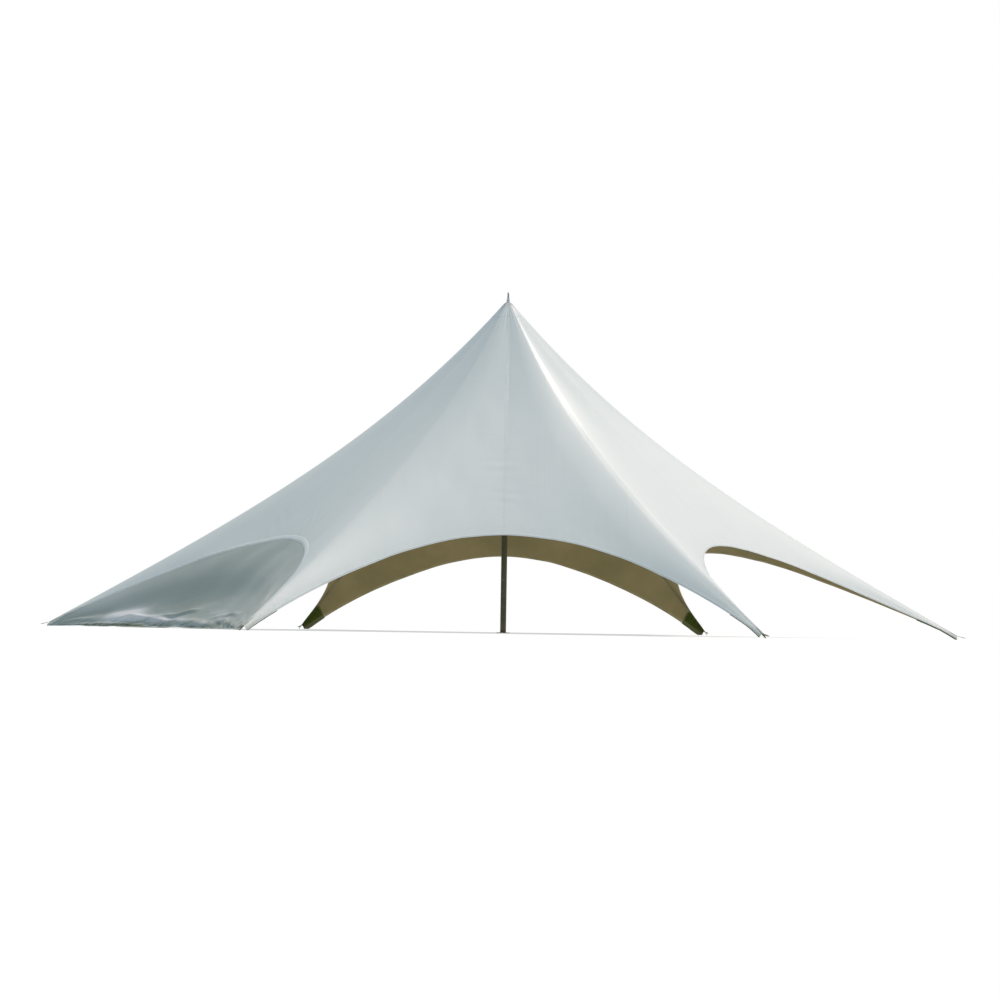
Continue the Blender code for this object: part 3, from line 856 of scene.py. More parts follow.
def boot_cloth():
    """The canopy's cloth, chafed and a little pinkish at the collar, with a sewn lower edge."""
    paint, wire, shader = new_material("boot_cloth", Sheen_Weight=0.1, Specular_IOR_Level=0.5)
    place, cloth = wire.place(), wire.cloth_place()
    along, down = wire.split(cloth)[:2]
    to_end = wire.mark("to_end")
    stains = wire.clouds(place, 40.0, 6.0, 0.6)
    colour = wire.mixed(wire.graded(to_end, 0.12, 0.26), CLOTH_WHITE, BOOT_PINK)
    colour = wire.mixed(wire.graded(stains, 0.45, 0.8, 0.0, 0.5), colour, CLOTH_GREY)
    dark, height = seam(wire, along, to_end)
    colour = wire.mixed(wire.maths("MULTIPLY", dark, 0.2), colour, CLOTH_GREY)
    wire.feed(shader.inputs["Base Color"], colour)
    wire.feed(shader.inputs["Roughness"], wire.graded(stains, 0.3, 0.7, 0.38, 0.55))
    weave = wire.maths("MULTIPLY", wire.group(WEAVE, Vector=cloth, Threads=900.0)[0], 0.00003)
    wire.feed(shader.inputs["Normal"], wire.raised(wire.maths("ADD", weave, height)))
    return paint


def lashing_cord():
    """Laid cord: slanting strands, greyed by weather."""
    paint, wire, shader = new_material("lashing_cord", Specular_IOR_Level=0.3)
    place = wire.place()
    grime = wire.clouds(place, 90.0, 5.0, 0.6)
    turn = wire.add("TexGradient", {"gradient_type": "RADIAL"}, Vector=place).outputs["Fac"]
    lay = wire.maths("ADD", wire.maths("MULTIPLY", turn, 60.0), wire.maths("MULTIPLY", wire.split(place)[2], 500.0))
    strand = wire.maths("ABSOLUTE", wire.maths("SUBTRACT", wire.maths("FRACT", lay), 0.5))
    colour = wire.mixed(wire.graded(strand, 0.3, 0.5, 0.0, 0.5), CORD_GREY, CLOTH_GREY)
    wire.feed(shader.inputs["Base Color"], wire.mixed(wire.graded(grime, 0.5, 0.8, 0.0, 0.6), colour, DRY_MUD))
    wire.feed(shader.inputs["Roughness"], wire.graded(grime, 0.3, 0.7, 0.7, 0.9))
    wire.feed(shader.inputs["Normal"], wire.raised(wire.maths("MULTIPLY", strand, -0.0016)))
    return paint


def make_boot():
    """The cone lies on the panels, bends up at the pole's head, and is drawn in by the lashing."""
    turn = np.linspace(0, math.tau, BOOT_SIDES, endpoint=False)[None, :]
    share = np.linspace(0, 1, BOOT_ROWS)[:, None] ** 0.8
    end = BOOT_END + BOOT_SCALLOP * np.cos(6 * turn)
    away = end + (PEAK_HOLE - end) * share
    x, y = away * np.cos(turn), away * np.sin(turn)
    skirt = np.stack([x, y, cloth_height(x, y) + BOOT_OVER_PANELS], axis=-1)
    brim = skirt[-1, :, 2]
    rows = [skirt]
    gathers = np.cos(COLLAR_GATHERS * turn[0])
    for radius, height, depth in (
        (0.050, 0.006, 0.0016),
        (0.040, 0.013, 0.0014),
        (0.031, 0.022, 0.0012),
        (0.025, 0.034, 0.0010),
        (0.0215, 0.044, 0.0008),
        (0.0190, 0.052, 0.0005),
        (0.0182, 0.056, 0.0004),
        (0.0190, 0.061, 0.0005),
        (0.0203, 0.068, 0.0009),
        (0.0200, 0.080, 0.0013),
        (0.0196, 0.092, 0.0016),
    ):
        pulled = radius + depth * gathers
        level = brim.mean() + height + (brim - brim.mean()) * max(0.0, 1 - height / 0.03)
        rows.append(np.stack([pulled * np.cos(turn[0]), pulled * np.sin(turn[0]), level], axis=-1)[None])
    points = np.concatenate(rows)
    down = lengths(points, 0)
    around = np.broadcast_to(turn * BOOT_END, down.shape)
    boot = sheet_object("peak_boot", points, np.stack([around, down], axis=-1), {"to_end": down}, ring=True)
    sewn(boot, (boot_cloth(),), "canopy_fabric", BOOT_CLOTH, "peak_cone", offset=1.0)
    turns = []
    for step in (-1, 0, 1):
        bpy.ops.mesh.primitive_torus_add(
            major_radius=0.0182 + BOOT_CLOTH + CORD_RADIUS * 0.7,
            minor_radius=CORD_RADIUS,
            major_segments=96,
            minor_segments=12,
            location=(0, 0, brim.mean() + 0.056 + 1.85 * step * CORD_RADIUS),
            rotation=(0.05, 0.03 * step, 0),
        )
        turns.append(bpy.context.object)
    lashing = joined("peak_lashing", *turns)
    belongs(lashing, lashing_cord(), "white_webbing")
    return boot


BOOT = make_boot()


# Hems: a band of tape is folded round the edge of each arch and sewn through with two rows of
# stitches, white above and tan below, where the tan is the underside's painted shade. It narrows
# where the arms do.
HEM_WIDTH = 0.04
HEM_TAPE = 0.0012
HEM_COLUMNS = 240
HEM_PART_OF_ARM = 0.8
STITCH_ROWS = (0.006, 0.034)
STITCH_PITCH = 0.006
TAPE_WHITE = (0.79, 0.81, 0.815)
TAPE_GREY = (0.52, 0.545, 0.55)
WELT_WHITE = (0.93, 0.94, 0.935)


def into_cloth(across):
    """Unit direction in plan from the edge of an arch into its cloth, square to the edge."""
    share = across / HALF_CHORD
    slope = (2 * (CHORD_RADIUS - ARCH_RADIUS) * share + 6 * BLUNT * share**5) / HALF_CHORD
    size = np.hypot(1, slope)
    return slope / size, -1 / size


def edge_band(bay, across, width, profile):
    """Points of a band along the edge of an arch, one row for each (share of the width, metres
    more, height over the cloth) of its profile. Also each point's distance from the edge."""
    edge_across, edge_out = edge_place(across)
    aside = edge_out * 0.5 - np.abs(edge_across) * math.cos(math.radians(30))
    step_across, step_out = into_cloth(across)
    edge = cloth_height(*in_frame(bay, edge_across, edge_out), bay)
    inner = in_frame(bay, edge_across + 0.02 * step_across, edge_out + 0.02 * step_out)
    steepness = (cloth_height(*inner, bay) - edge) / 0.02
    width = np.minimum(width / np.hypot(1, steepness), HEM_PART_OF_ARM * aside)
    rows, offs = [], []
    for share, more, height in profile:
        off = share * width + more
        x, y = in_frame(bay, edge_across + step_across * off, edge_out + step_out * off)
        rows.append(np.stack([x, y, cloth_height(x, y, bay) + height], axis=-1))
        offs.append(off)
    return np.array(rows), np.array(offs)


def stitched(wire, along, off, rows, pitch):
    """Stitches in rows at these distances from an edge: their mask, and the height they give."""
    shown, height = None, None
    for line in rows:
        row = wire.group(STITCHES, Along=along, Off=wire.maths("SUBTRACT", off, line), Pitch=pitch)
        rise = wire.maths("MULTIPLY", row["Stitch"], 0.0006)
        rise = wire.maths("ADD", rise, wire.maths("MULTIPLY", row["Pucker"], -0.0008))
        shown = row["Pucker"] if shown is None else wire.maths("MAXIMUM", shown, row["Pucker"])
        height = rise if height is None else wire.maths("ADD", height, rise)
    return shown, height


def hem_tape():
    """Satin tape with a fine cross rib, grey in its stitch lines, and tan where it lies below, the underside's tan
    with its painted shade.
    """
    paint, wire, shader = new_material("hem_tape", Sheen_Weight=0.1, Specular_IOR_Level=0.4)
    place, cloth = wire.place(), wire.cloth_place()
    along = wire.split(cloth)[0]
    off, below = wire.mark("off_edge"), wire.mark("below")
    stains = wire.clouds(place, 5.0, 6.0, 0.62)
    fine = wire.clouds(place, 60.0, 4.0, 0.6)
    dark, height = stitched(wire, along, off, STITCH_ROWS, STITCH_PITCH)
    clean = wire.mixed(wire.mark("welt"), TAPE_WHITE, WELT_WHITE)
    white = wire.mixed(wire.graded(stains, 0.45, 0.75, 0.0, 0.3), clean, TAPE_GREY)
    white = wire.mixed(wire.maths("MULTIPLY", dark, 0.6), white, TAPE_GREY)
    # Painted shade: the tape's lower leg takes the underside's darkened tan.
    tan = wire.mixed(wire.graded(stains, 0.4, 0.7), CLOTH_TAN_SHADED, CLOTH_TAN_SHADED_DARK)
    colour = wire.mixed(wire.graded(below, 0.3, 0.7), white, tan)
    low = wire.graded(wire.split(place)[2], 0.03, 0.35, 1.0, 0.0)
    dirt = wire.maths("MULTIPLY", low, wire.graded(fine, 0.35, 0.65, 0.15, 0.8))
    wire.feed(shader.inputs["Base Color"], wire.mixed(dirt, colour, SPLASHED_EARTH))
    wire.feed(shader.inputs["Roughness"], wire.graded(stains, 0.3, 0.7, 0.45, 0.65))
    rib = wire.maths("SINE", wire.maths("MULTIPLY", along, 3000.0))
    height = wire.maths("ADD", height, wire.maths("MULTIPLY", rib, 0.00004))
    wire.feed(shader.inputs["Normal"], wire.raised(height))
    return paint


def make_hems():
    """Six hems. Each one's profile runs from its inner edge above, round the edge, and back."""
    profile = (
        (1.00, 0.0000, 0.0008),
        (0.94, 0.0000, 0.0014),
        (0.50, 0.0000, 0.0016),
        (0.12, 0.0000, 0.0015),
        (0.00, -0.0012, 0.0008),
        (0.00, -0.0026, -0.0010),
        (0.00, -0.0024, -0.0028),
        (0.00, -0.0004, -0.0040),
        (0.12, 0.0000, -0.0042),
        (0.50, 0.0000, -0.0042),
        (1.00, 0.0000, -0.0038),
    )
    below = np.array((0, 0, 0, 0, 0, 0, 0.5, 1, 1, 1, 1), dtype=float)[:, None]
    paint = hem_tape()
    last = edge_end() - 0.004
    made = []
    for bay, name in enumerate(BAYS):
        across = last * np.sin(np.linspace(-1, 1, HEM_COLUMNS + 1) * math.pi / 2 * 0.96) / math.sin(math.pi / 2 * 0.96)
        points, offs = edge_band(bay, across, HEM_WIDTH, profile)
        along, over = lengths(points, 1), lengths(points, 0)
        marks = {"off_edge": offs, "below": np.broadcast_to(below, offs.shape)}
        hem = sheet_object(f"hem_{name}", points, np.stack([along[3:4] + 0 * over, over], axis=-1), marks)
        sewn(hem, (paint,), "white_webbing", HEM_TAPE, f"arch_hem_{name}", offset=1.0)
        made.append(hem)
    return made


HEMS = make_hems()


# Ridge webbings: under each ridge runs a webbing of dark polyester, past the cloth's end as the
# strap, round the near side of the ring, and back under itself, where it is sewn down.
WEBBING_WIDTH = 0.03
WEBBING_THICKNESS = 0.0023
WEBBING_DROP = 0.0068
WEBBING_START = 0.0708
WEBBING_STEPS = 260
LOOP_CLEARANCE = 0.0004
RETURN_LENGTH = 0.066
WEBBING_OLIVE = (0.115, 0.108, 0.05)
WEBBING_FADED = (0.19, 0.175, 0.095)


def webbing_fabric():
    """Coarse webbing: ribs along it crossed by a fine weave, faded and muddy towards the ring, and painted shade in
    the grooves between the ribs.
    """
    paint, wire, shader = new_material("webbing", Sheen_Weight=0.15, Specular_IOR_Level=0.3)
    place, cloth = wire.place(), wire.cloth_place()
    along, over = wire.split(cloth)[:2]
    faded = wire.clouds(place, 3.0, 5.0, 0.6)
    grit = wire.clouds(place, 80.0, 5.0, 0.6)
    rib = wire.maths("SINE", wire.maths("MULTIPLY", over, math.tau / 0.003))
    cross = wire.maths("SINE", wire.maths("MULTIPLY", along, math.tau / 0.0018))
    colour = wire.mixed(wire.graded(faded, 0.35, 0.7), WEBBING_OLIVE, WEBBING_FADED)
    # Painted shade: darker in the grooves, where the rib's height is lowest.
    colour = wire.mixed(wire.graded(rib, -1.0, -0.4, 0.35, 0.0), colour, (0.04, 0.04, 0.02))
    low = wire.graded(wire.split(place)[2], 0.0, 0.25, 1.0, 0.0)
    mud = wire.maths("MULTIPLY", low, wire.graded(grit, 0.4, 0.65, 0.1, 0.8))
    wire.feed(shader.inputs["Base Color"], wire.mixed(mud, colour, DRY_MUD))
    wire.feed(shader.inputs["Roughness"], wire.graded(grit, 0.3, 0.7, 0.62, 0.85))
    height = wire.maths("ADD", wire.maths("MULTIPLY", rib, 0.00018), wire.maths("MULTIPLY", cross, 0.00010))
    wire.feed(shader.inputs["Normal"], wire.raised(height))
    return paint


def strap_path():
    """Middle line of one webbing as distances from the pole and heights."""
    share = np.linspace(0, 1, WEBBING_STEPS)
    away = WEBBING_START + 0.9 * share + (CLOTH_END - WEBBING_START - 0.9) * share**1.5
    path = [(r, cloth_height(np.array([r]), np.array([0.0]))[0] - WEBBING_DROP) for r in away]
    low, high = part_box("anchor_ring_right")
    wire = 0.004
    middle_height = (low.z + high.z) / 2
    near = low.x + wire
    wire_height = high.z - wire
    round_wire = wire + WEBBING_THICKNESS / 2 + LOOP_CLEARANCE
    end_r, end_z = path[-1]
    for turn in np.radians(np.linspace(97, -97, 18)):
        path.append((near + round_wire * math.cos(turn), wire_height + round_wire * math.sin(turn)))
    back_r = end_r + 0.014
    back_z = end_z - 0.0032 + (wire_height + round_wire - end_z) * 0.17
    last_r, last_z = path[-1]
    for share in np.linspace(0.08, 1, 22):
        bend = 0.0034 * share * (1 - share)
        path.append((last_r + (back_r - last_r) * share, last_z + (back_z - last_z) * share + bend))
    return np.array(path)


def make_webbings():
    """Six webbings. Over the cloth each follows the round of its ridge, and beyond it lies flat."""
    path = strap_path()
    across = np.linspace(-WEBBING_WIDTH / 2, WEBBING_WIDTH / 2, 5)
    paint = webbing_fabric()
    made = []
    for arm, angle in ARMS.items():
        turn = math.radians(angle)
        away, beside = np.meshgrid(path[:, 0], across, indexing="ij")
        x = away * math.cos(turn) - beside * math.sin(turn)
        y = away * math.sin(turn) + beside * math.cos(turn)
        z = np.repeat(path[:, 1:], across.size, axis=1)
        under = slice(0, WEBBING_STEPS)
        crest_x, crest_y = path[under, :1] * math.cos(turn), path[under, :1] * math.sin(turn)
        bow = cloth_height(x[under], y[under]) - cloth_height(crest_x, crest_y)
        calm = np.clip((CLOTH_END - path[under, :1]) / 0.5, 0.15, 1)
        z[under] += np.maximum(bow, -0.006) * calm
        points = np.stack([x, y, z], axis=-1)
        uv = np.stack([lengths(points, 0)[:, 2:3] + 0 * away, beside], axis=-1)
        webbing = sheet_object(f"load_webbing_{arm}", points, uv)
        node = f"ridge_webbing_{arm}"
        made.append(sewn(webbing, (paint,), "olive_fabric", WEBBING_THICKNESS, node, offset=0.0))
    return made


WEBBINGS = make_webbings()


# Arm ends: dark olive cloth is sewn under the last 0.6 m of each arm, below the webbing.
PATCH_START = 6.3
PATCH_END = 6.893
PATCH_DROP = 0.0092
PATCH_CLOTH = 0.0013
PATCH_ROWS = 64
PATCH_COLUMNS = 24
PATCH_GREEN = (0.050, 0.070, 0.006)
PATCH_DARK = (0.034, 0.047, 0.004)


def patch_cloth():
    """Coarse dark green canvas with sewn edges, dusty towards the ground."""
    paint, wire, shader = new_material("patch_cloth", Specular_IOR_Level=0.1)
    place, cloth = wire.place(), wire.cloth_place()
    across, along = wire.split(cloth)[:2]
    worn = wire.clouds(place, 14.0, 6.0, 0.6)
    dark, height = stitched(wire, across, wire.mark("off_edge"), (0.008, 0.020), STITCH_PITCH)
    colour = wire.mixed(wire.graded(worn, 0.35, 0.7), PATCH_DARK, PATCH_GREEN)
    colour = wire.mixed(wire.maths("MULTIPLY", dark, 0.5), colour, WEBBING_FADED)
    low = wire.graded(wire.split(place)[2], 0.0, 0.12, 0.4, 0.0)
    colour = wire.mixed(wire.maths("MULTIPLY", low, wire.graded(worn, 0.4, 0.6)), colour, DRY_MUD)
    wire.feed(shader.inputs["Base Color"], colour)
    wire.feed(shader.inputs["Roughness"], wire.graded(worn, 0.3, 0.7, 0.7, 0.9))
    weave = wire.maths("MULTIPLY", wire.group(WEAVE, Vector=cloth, Threads=450.0)[0], 0.00012)
    wire.feed(shader.inputs["Normal"], wire.raised(wire.maths("ADD", weave, height)))
    return paint


def make_patches():
    """Six patches, each over the whole width of its arm between the hems."""
    paint = patch_cloth()
    share = np.linspace(0, 1, PATCH_ROWS + 1)[:, None]
    away = PATCH_START + (PATCH_END - PATCH_START) * share
    wrap = np.linspace(-1, 1, PATCH_COLUMNS + 1)
    beside = np.clip(wrap * 1.12, -1, 1) * (arm_half_width(away) + 0.0055)
    turned_up = np.clip((np.abs(wrap) * 1.12 - 1) / 0.12, 0, 1) * 0.0085
    away = away + 0 * beside
    made = []
    for arm, angle in ARMS.items():
        turn = math.radians(angle)
        x = away * math.cos(turn) - beside * math.sin(turn)
        y = away * math.sin(turn) + beside * math.cos(turn)
        pucker = 0.0012 * np.sin(away * 41 + beside * 60) * np.sin(beside * 50 + away * 13)
        z = cloth_height(x, y) - PATCH_DROP + np.minimum(pucker, 0.0004) + turned_up
        points = np.stack([x, y, z], axis=-1)
        off = np.minimum(away - PATCH_START, arm_half_width(away) + 0.0055 - np.abs(beside))
        patch = sheet_object(f"arm_patch_{arm}", points, np.stack([beside, away], axis=-1), {"off_edge": off})
        sewn(patch, (paint,), "olive_fabric", PATCH_CLOTH, f"arm_end_patch_{arm}")
        made.append(patch)
    return made


PATCHES = make_patches()


# Anchors: at each arm a welded ring hooks over a steel stake that leans away from the tent. Of
# the stakes only what stands above the ground is built.
LEAN = math.radians(12)
RING_WIRE = 0.004
BAR_RADIUS = 0.009
STAKE_TOP = 0.06
STAKE_SIDES = 48


def turned_to(piece, angle):
    """Turns a piece made on the right arm about the pole to its own arm."""
    piece.matrix_world = Matrix.Rotation(math.radians(angle), 4, "Z") @ piece.matrix_world
    return piece


def make_ring(arm, angle):
    """Ring of round wire with the lump of its weld at one side."""
    low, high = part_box("anchor_ring_right")
    middle = Vector(((low.x + high.x) / 2, 0, (low.z + high.z) / 2))
    radius = high.y - RING_WIRE
    bpy.ops.object.select_all(action="DESELECT")
    bpy.ops.mesh.primitive_torus_add(
        major_radius=radius,
        minor_radius=RING_WIRE,
        major_segments=96,
        minor_segments=20,
        location=middle,
        rotation=(0, LEAN, 0),
    )
    ring = bpy.context.object
    bpy.ops.mesh.primitive_uv_sphere_add(
        segments=24, ring_count=14, radius=RING_WIRE * 1.25, location=middle + Vector((0, radius, 0))
    )
    lump = bpy.context.object
    lump.scale = (0.8, 1.02, 1.02)
    lump.rotation_euler.y = LEAN
    ring = joined(f"ring_{arm}", ring, lump)
    belongs(settled(turned_to(ring, angle), ring.name), ZINC_STEEL, "zinc_steel", f"anchor_ring_{arm}")


def make_stake(arm, angle, seed):
    """Bar cut off at the ground, with a head that hammer blows have spread and dented."""
    foot = 7.01
    head = 0.019
    profile = [
        (BAR_RADIUS, -0.006),
        (BAR_RADIUS, STAKE_TOP - 0.016),
        (BAR_RADIUS * 1.12, STAKE_TOP - 0.0135),
        (head * 0.94, STAKE_TOP - 0.012),
        (head, STAKE_TOP - 0.0095),
        (head * 1.02, STAKE_TOP - 0.006),
        (head * 0.97, STAKE_TOP - 0.0025),
        (head * 0.86, STAKE_TOP - 0.0006),
        (head * 0.6, STAKE_TOP),
        (head * 0.3, STAKE_TOP - 0.0003),
    ]
    stake = drawn_up(profile, STAKE_SIDES)
    source = np.random.default_rng(seed)
    blows = source.uniform(-0.012, 0.012, (7, 2))
    for point in stake.data.vertices:
        if point.co.z > STAKE_TOP - 0.0105:
            swing = math.atan2(point.co.y, point.co.x)
            spread = 1 + 0.035 * math.sin(3 * swing + seed) + 0.02 * math.sin(7 * swing + 2 * seed)
            point.co.x *= spread
            point.co.y *= spread
        if point.co.z > STAKE_TOP - 0.002:
            for blow in blows:
                point.co.z -= 0.0009 * math.exp(-(Vector(blow) - point.co.xy).length_squared / 0.00003)
    stake.rotation_euler.y = LEAN
    stake.location = (foot, 0, 0)
    stake = settled(turned_to(stake, 0), f"stake_head_{arm}")
    bpy.ops.object.mode_set(mode="EDIT")
    bpy.ops.mesh.select_all(action="SELECT")
    bpy.ops.mesh.bisect(plane_co=(foot, 0, 0.0), plane_no=(0, 0, 1), use_fill=True, clear_inner=True)
    bpy.ops.object.mode_set(mode="OBJECT")
    belongs(settled(turned_to(stake, angle), stake.name), ZINC_STEEL, "zinc_steel", f"stake_{arm}")


for number, (arm, angle) in enumerate(ARMS.items()):
    make_ring(arm, angle)
    make_stake(arm, angle, number + 1)


# Wall of the left front bay: one sheet that is zipped under the arch and slopes outwards to the
# ground, where it lies in crumples and ends in a skirt. Its zip is covered by a puffed flap.
WALLED = 3
WALL_END = 3.42
WALL_CLOTH = 0.0014
WALL_COLUMNS = 270
WALL_ROWS = 100
SKIRT_ROWS = 18
WALL_INSET = 0.014
WALL_TOP_DROP = 0.0075
FOOT_RADIUS = 5.1
SKIRT_WIDTH = 0.25
SKIRT_HEIGHT = 0.004
WALL_GREY = (0.345, 0.385, 0.362)
WALL_PALE = (0.395, 0.42, 0.398)
WALL_SPLASH = (0.13, 0.14, 0.035)
# A light colour for the dust and for the painted sheen on the wall's crumples.
WALL_DUST_AND_SHEEN = (0.76, 0.75, 0.78)
FLAP_WIDTH = 0.075
FLAP_PUFF = 0.004
ZIP_FROM_TOP = 0.018
# Each buckle near the ground has its middle across, its reach to each side, how far down the wall
# it lies (1 is the ground), how much it drifts, its half height in the same measure, and its rise.
# Each stain has its middle across and down, its reach both ways, and its tone: a positive tone
# is painted sheen on the crumples and says how much paler, a negative one how much greener and darker.
BUCKLES = (
    (-2.15, 0.36, 0.84, 0.03, 0.100, 0.050),
    (-2.30, 0.70, 0.97, 0.02, 0.030, 0.025),
    (-2.90, 0.35, 0.80, 0.03, 0.090, 0.030),
    (-1.55, 0.60, 0.90, 0.03, 0.035, 0.045),
    (-1.05, 0.45, 0.83, -0.05, 0.022, 0.030),
    (-0.30, 0.80, 0.95, 0.02, 0.030, 0.040),
    (0.55, 0.50, 0.86, -0.04, 0.020, 0.022),
    (1.20, 0.80, 0.94, 0.02, 0.032, 0.040),
    (1.80, 0.45, 0.88, 0.05, 0.022, 0.020),
    (2.60, 0.50, 0.92, 0.02, 0.045, 0.025),
)
STAINS_AND_SHEEN = (
    (-2.15, 0.82, 0.32, 0.12, 1.40),
    (-2.75, 0.40, 0.80, 0.45, 0.36),
    (-0.90, 0.72, 0.80, 0.16, -0.30),
    (1.90, 0.75, 0.70, 0.20, -0.16),
    (-1.55, 0.90, 0.70, 0.06, 0.60),
    (-0.40, 0.93, 1.10, 0.05, 0.45),
    (-2.85, 0.72, 0.30, 0.16, -0.45),
    (-3.10, 0.95, 0.30, 0.10, 0.40),
    (-1.90, 0.99, 0.50, 0.05, -0.80),
    (0.60, 0.98, 0.50, 0.05, -0.50),
    (1.70, 0.97, 0.60, 0.06, 0.35),
    (0.20, 0.45, 1.10, 0.30, -0.12),
)


def wall_cloth():
    """Satin grey-green coating with earth and grass stains below, paler low down with dust and painted sheen, and with
    marks of painted sheen on its crumples.
    """
    paint, wire, shader = new_material("wall_cloth", Sheen_Weight=0.2, Sheen_Roughness=0.35)
    place, cloth = wire.place(), wire.cloth_place()
    along, down = wire.split(cloth)[:2]
    low, top = wire.mark("low"), wire.mark("off_top")
    broad = wire.clouds(place, 0.8, 4.0, 0.55)
    specks = wire.clouds(wire.scaled(cloth, (2.6, 16.0, 1)), 1.0, 6.0, 0.65)
    fine = wire.clouds(wire.scaled(cloth, (20.0, 60.0, 1)), 1.0, 5.0, 0.6)
    rub_and_sheen = wire.clouds(wire.scaled(cloth, (1.2, 5.0, 1)), 1.0, 6.0, 0.6)
    colour = wire.mixed(wire.graded(broad, 0.35, 0.68), WALL_GREY, WALL_PALE)
    # Paler low down: partly dust, partly painted sheen on the crumples near the ground.
    dust_and_sheen = wire.maths("MULTIPLY", wire.graded(low, 0.45, 0.95), wire.graded(rub_and_sheen, 0.40, 0.66))
    colour = wire.mixed(wire.maths("MULTIPLY", dust_and_sheen, 0.4), colour, WALL_DUST_AND_SHEEN)
    # The stain mark's positive part is painted sheen on the heaps; its negative part turns the cloth greener and
    # darker.
    stain_and_sheen = wire.mark("stain_and_sheen")
    painted_sheen = wire.maths("MULTIPLY", wire.graded(stain_and_sheen, 0.0, 0.9), wire.graded(rub_and_sheen, 0.3, 0.55, 0.7, 1.0))
    colour = wire.mixed(painted_sheen, colour, WALL_DUST_AND_SHEEN)
    colour = wire.mixed(wire.graded(wire.maths("MULTIPLY", stain_and_sheen, -1.0), 0.0, 1.2), colour, WALL_SPLASH)
    splash = wire.maths("MULTIPLY", wire.graded(low, 0.86, 1.02), wire.graded(specks, 0.47, 0.60))
    colour = wire.mixed(wire.maths("MULTIPLY", splash, 0.9), colour, WALL_SPLASH)
    spots = wire.maths("MULTIPLY", wire.graded(low, 0.6, 1.0), wire.graded(fine, 0.66, 0.72))
    colour = wire.mixed(wire.maths("MULTIPLY", spots, 0.6), colour, WALL_SPLASH)
    tape = wire.graded(wire.maths("ABSOLUTE", wire.maths("SUBTRACT", top, ZIP_FROM_TOP)), 0.012, 0.014, 1.0, 0.0)
    colour = wire.mixed(wire.maths("MULTIPLY", tape, 0.85), colour, (0.05, 0.055, 0.05))
    wire.feed(shader.inputs["Base Color"], colour)
    wire.feed(shader.inputs["Roughness"], wire.graded(rub_and_sheen, 0.3, 0.7, 0.34, 0.5))
    weave = wire.maths("MULTIPLY", wire.group(WEAVE, Vector=cloth, Threads=800.0)[0], 0.00003)
    teeth = wire.maths("SINE", wire.maths("MULTIPLY", along, math.tau / 0.004))
    chain = wire.graded(wire.maths("ABSOLUTE", wire.maths("SUBTRACT", top, ZIP_FROM_TOP)), 0.003, 0.0036, 1.0, 0.0)
    chain = wire.maths("MULTIPLY", chain, wire.maths("ADD", wire.maths("MULTIPLY", teeth, 0.0006), 0.0016))
    crinkle = wire.maths("MULTIPLY", wire.clouds(wire.scaled(cloth, (1.6, 9.0, 1)), 1.0, 4.0), 0.004)
    crinkle = wire.maths("MULTIPLY", crinkle, wire.graded(low, 0.6, 0.95, 0.1, 1.0))
    height = wire.maths("ADD", wire.maths("ADD", weave, chain), crinkle)
    wire.feed(shader.inputs["Normal"], wire.raised(height))
    return paint


def ridged(x, y, seed, wavelength):
    """Sharp folds between soft hollows, from 0 to about 1."""
    return 1 - np.abs(np.tanh(1.2 * ripple(x, y, seed, wavelength, 7)))


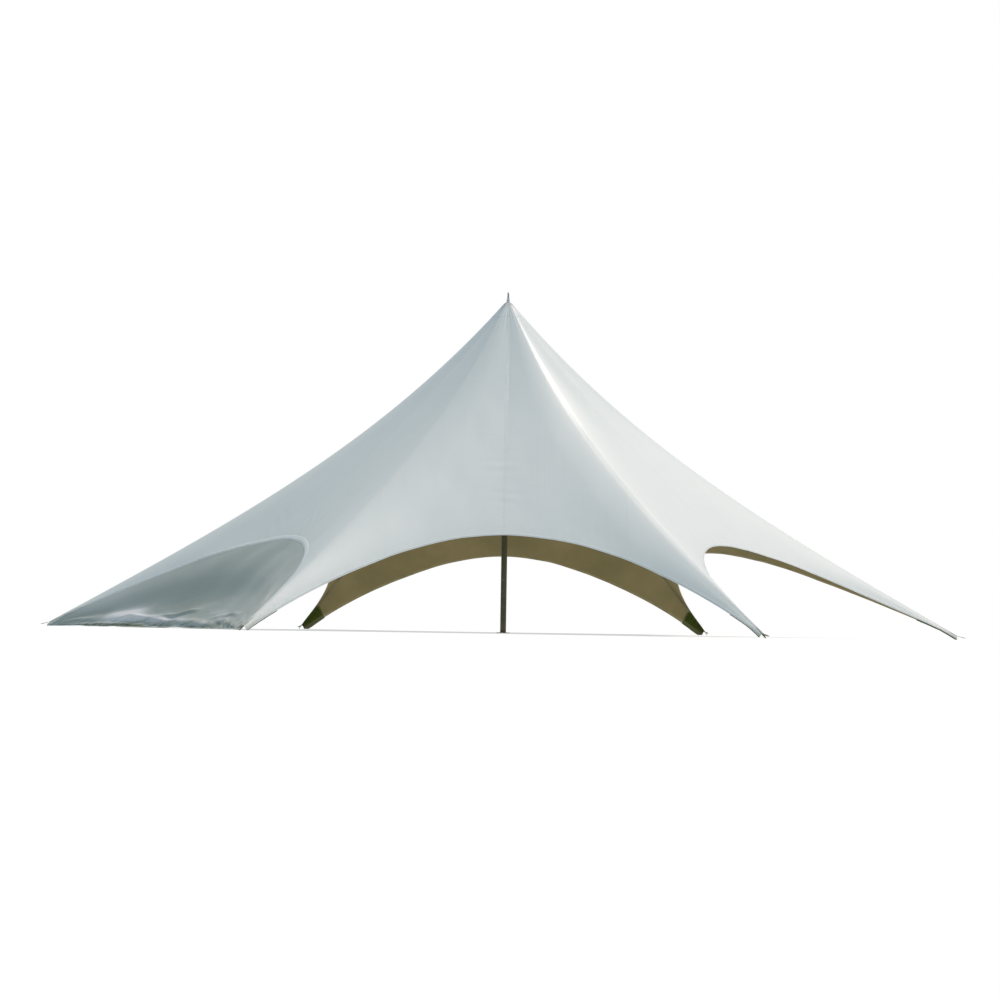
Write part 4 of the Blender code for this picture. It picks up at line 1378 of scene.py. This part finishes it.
def make_wall():
    """The sheet's net is laid out flat from arch to ground and on along it, then folds are raised
    square to it: long soft ones down the slope, and sharp small ones near the ground."""
    across = WALL_END * np.linspace(-1, 1, WALL_COLUMNS + 1)[None, :]
    edge_across, edge_out = edge_place(across)
    step_across, step_out = into_cloth(across)
    top_across, top_out = edge_across + step_across * WALL_INSET, edge_out + step_out * WALL_INSET
    x, y = in_frame(WALLED, top_across, top_out)
    top_height = cloth_height(x, y, WALLED) - WALL_TOP_DROP
    foot_out = FOOT_RADIUS + (CHORD_RADIUS - FOOT_RADIUS) * (across / HALF_CHORD) ** 2
    share = np.linspace(0, 1, WALL_ROWS + 1)[:, None]
    slope = share + 0.048 * np.sin(math.tau * share)
    side = top_across + (across - top_across) * share
    out = top_out + (foot_out - top_out) * slope
    height = SKIRT_HEIGHT + (top_height - SKIRT_HEIGHT) * (1 - share)
    skirt = np.linspace(0, 1, SKIRT_ROWS + 1)[1:, None]
    skirt_out = foot_out + SKIRT_WIDTH * (1 - (across / HALF_CHORD) ** 2) * skirt
    side = np.concatenate([side, across + 0 * skirt])
    out = np.concatenate([out, skirt_out])
    height = np.concatenate([height, SKIRT_HEIGHT + 0 * skirt_out])
    down = np.concatenate([share + 0 * across, 1 + 0.15 * skirt + 0 * across])

    flat = np.stack([side, out, height], axis=-1)
    lay = np.cross(np.gradient(flat, axis=1), np.gradient(flat, axis=0))
    lay /= np.linalg.norm(lay, axis=2, keepdims=True)
    lay *= np.sign(lay[..., 2:])
    free = np.clip(down / 0.12, 0, 1) * np.clip((WALL_END - np.abs(side)) / 0.35, 0, 1)
    tall = np.clip(top_height / 0.5, 0, 1)
    long_folds = 0.006 * ripple(side + 0.6 * out, 0.35 * out, 21, 1.1) * free * tall
    near_ground = np.clip((down - 0.72) / 0.25, 0, 1)
    small = 0.010 * ridged(0.3 * side, 3.0 * out, 22, 0.7) + 0.003 * ridged(0.3 * side, 2.4 * out, 23, 0.4)
    small *= near_ground * np.clip((WALL_END - np.abs(side)) / 1.2, 0, 1)
    rise = long_folds + small
    for middle, reach, level, drift, tall_roll, high_roll in BUCKLES:
        line = level + drift * np.sin(2.1 * (side - middle)) + 0.012 * ripple(side, 0 * side, 31, 0.5)
        fade = np.exp(-(((side - middle) / reach) ** 4))
        rise = rise + high_roll * fade * np.exp(-(((down - line) / tall_roll) ** 2))
    points = flat + lay * rise[..., None]
    flat_down = lengths(flat, 0)
    x, y = in_frame(WALLED, points[..., 0], points[..., 1])
    placed = np.stack([x, y, np.maximum(points[..., 2], 0.0028)], axis=-1)
    stain_and_sheen = np.zeros_like(down)
    # Positive tones give painted sheen, negative ones greener and darker patches.
    for middle, level, reach, high, tone in STAINS_AND_SHEEN:
        stain_and_sheen += tone * np.exp(-(((side - middle) / reach) ** 2) - ((down - level) / high) ** 2)
    marks = {"low": down, "off_top": flat_down, "stain_and_sheen": stain_and_sheen}
    uv = np.stack([side, flat_down], axis=-1)
    wall = sheet_object("left_front_wall", placed, uv, marks)
    sewn(wall, (wall_cloth(),), "wall_fabric", WALL_CLOTH, "wall_panel", offset=0.0)
    return wall


def make_flap():
    """Puffed welt over the zip: it lies on the canopy along the edge and laps 14 mm below it."""
    profile = (
        (1.00, 0.0000, 0.0012),
        (0.97, 0.0000, 0.0032),
        (0.88, 0.0000, 0.0036 + 0.4 * FLAP_PUFF),
        (0.70, 0.0000, 0.0036 + 0.85 * FLAP_PUFF),
        (0.50, 0.0000, 0.0036 + FLAP_PUFF),
        (0.30, 0.0000, 0.0036 + 0.85 * FLAP_PUFF),
        (0.12, 0.0000, 0.0036 + 0.35 * FLAP_PUFF),
        (0.03, -0.0010, 0.0036),
        (0.00, -0.0042, 0.0010),
        (0.00, -0.0058, -0.0040),
        (0.00, -0.0060, -0.0140),
    )
    across = WALL_END * np.sin(np.linspace(-1, 1, HEM_COLUMNS + 1) * math.pi / 2 * 0.9) / math.sin(math.pi / 2 * 0.9)
    width = FLAP_WIDTH * (0.3 + 0.7 * np.exp(-(((across - 0.7) / 2.0) ** 4)))
    points, offs = edge_band(WALLED, across, width, profile)
    along, over = lengths(points, 1), lengths(points, 0)
    uneven = 0.0012 * np.sin(along * 31 + 2 * np.sin(along * 7)) * np.sin(np.clip(offs / FLAP_WIDTH, 0, 1) * math.pi)
    points[..., 2] += uneven
    marks = {"off_edge": offs, "below": 0 * offs, "welt": 1 + 0 * offs}
    flap = sheet_object("zip_flap", points, np.stack([along[3:4] + 0 * over, over], axis=-1), marks)
    tape = bpy.data.materials["hem_tape"]
    sewn(flap, (tape,), "white_webbing", HEM_TAPE, "wall_zip_flap", offset=1.0)
    return flap


WALL = make_wall()
FLAP = make_flap()
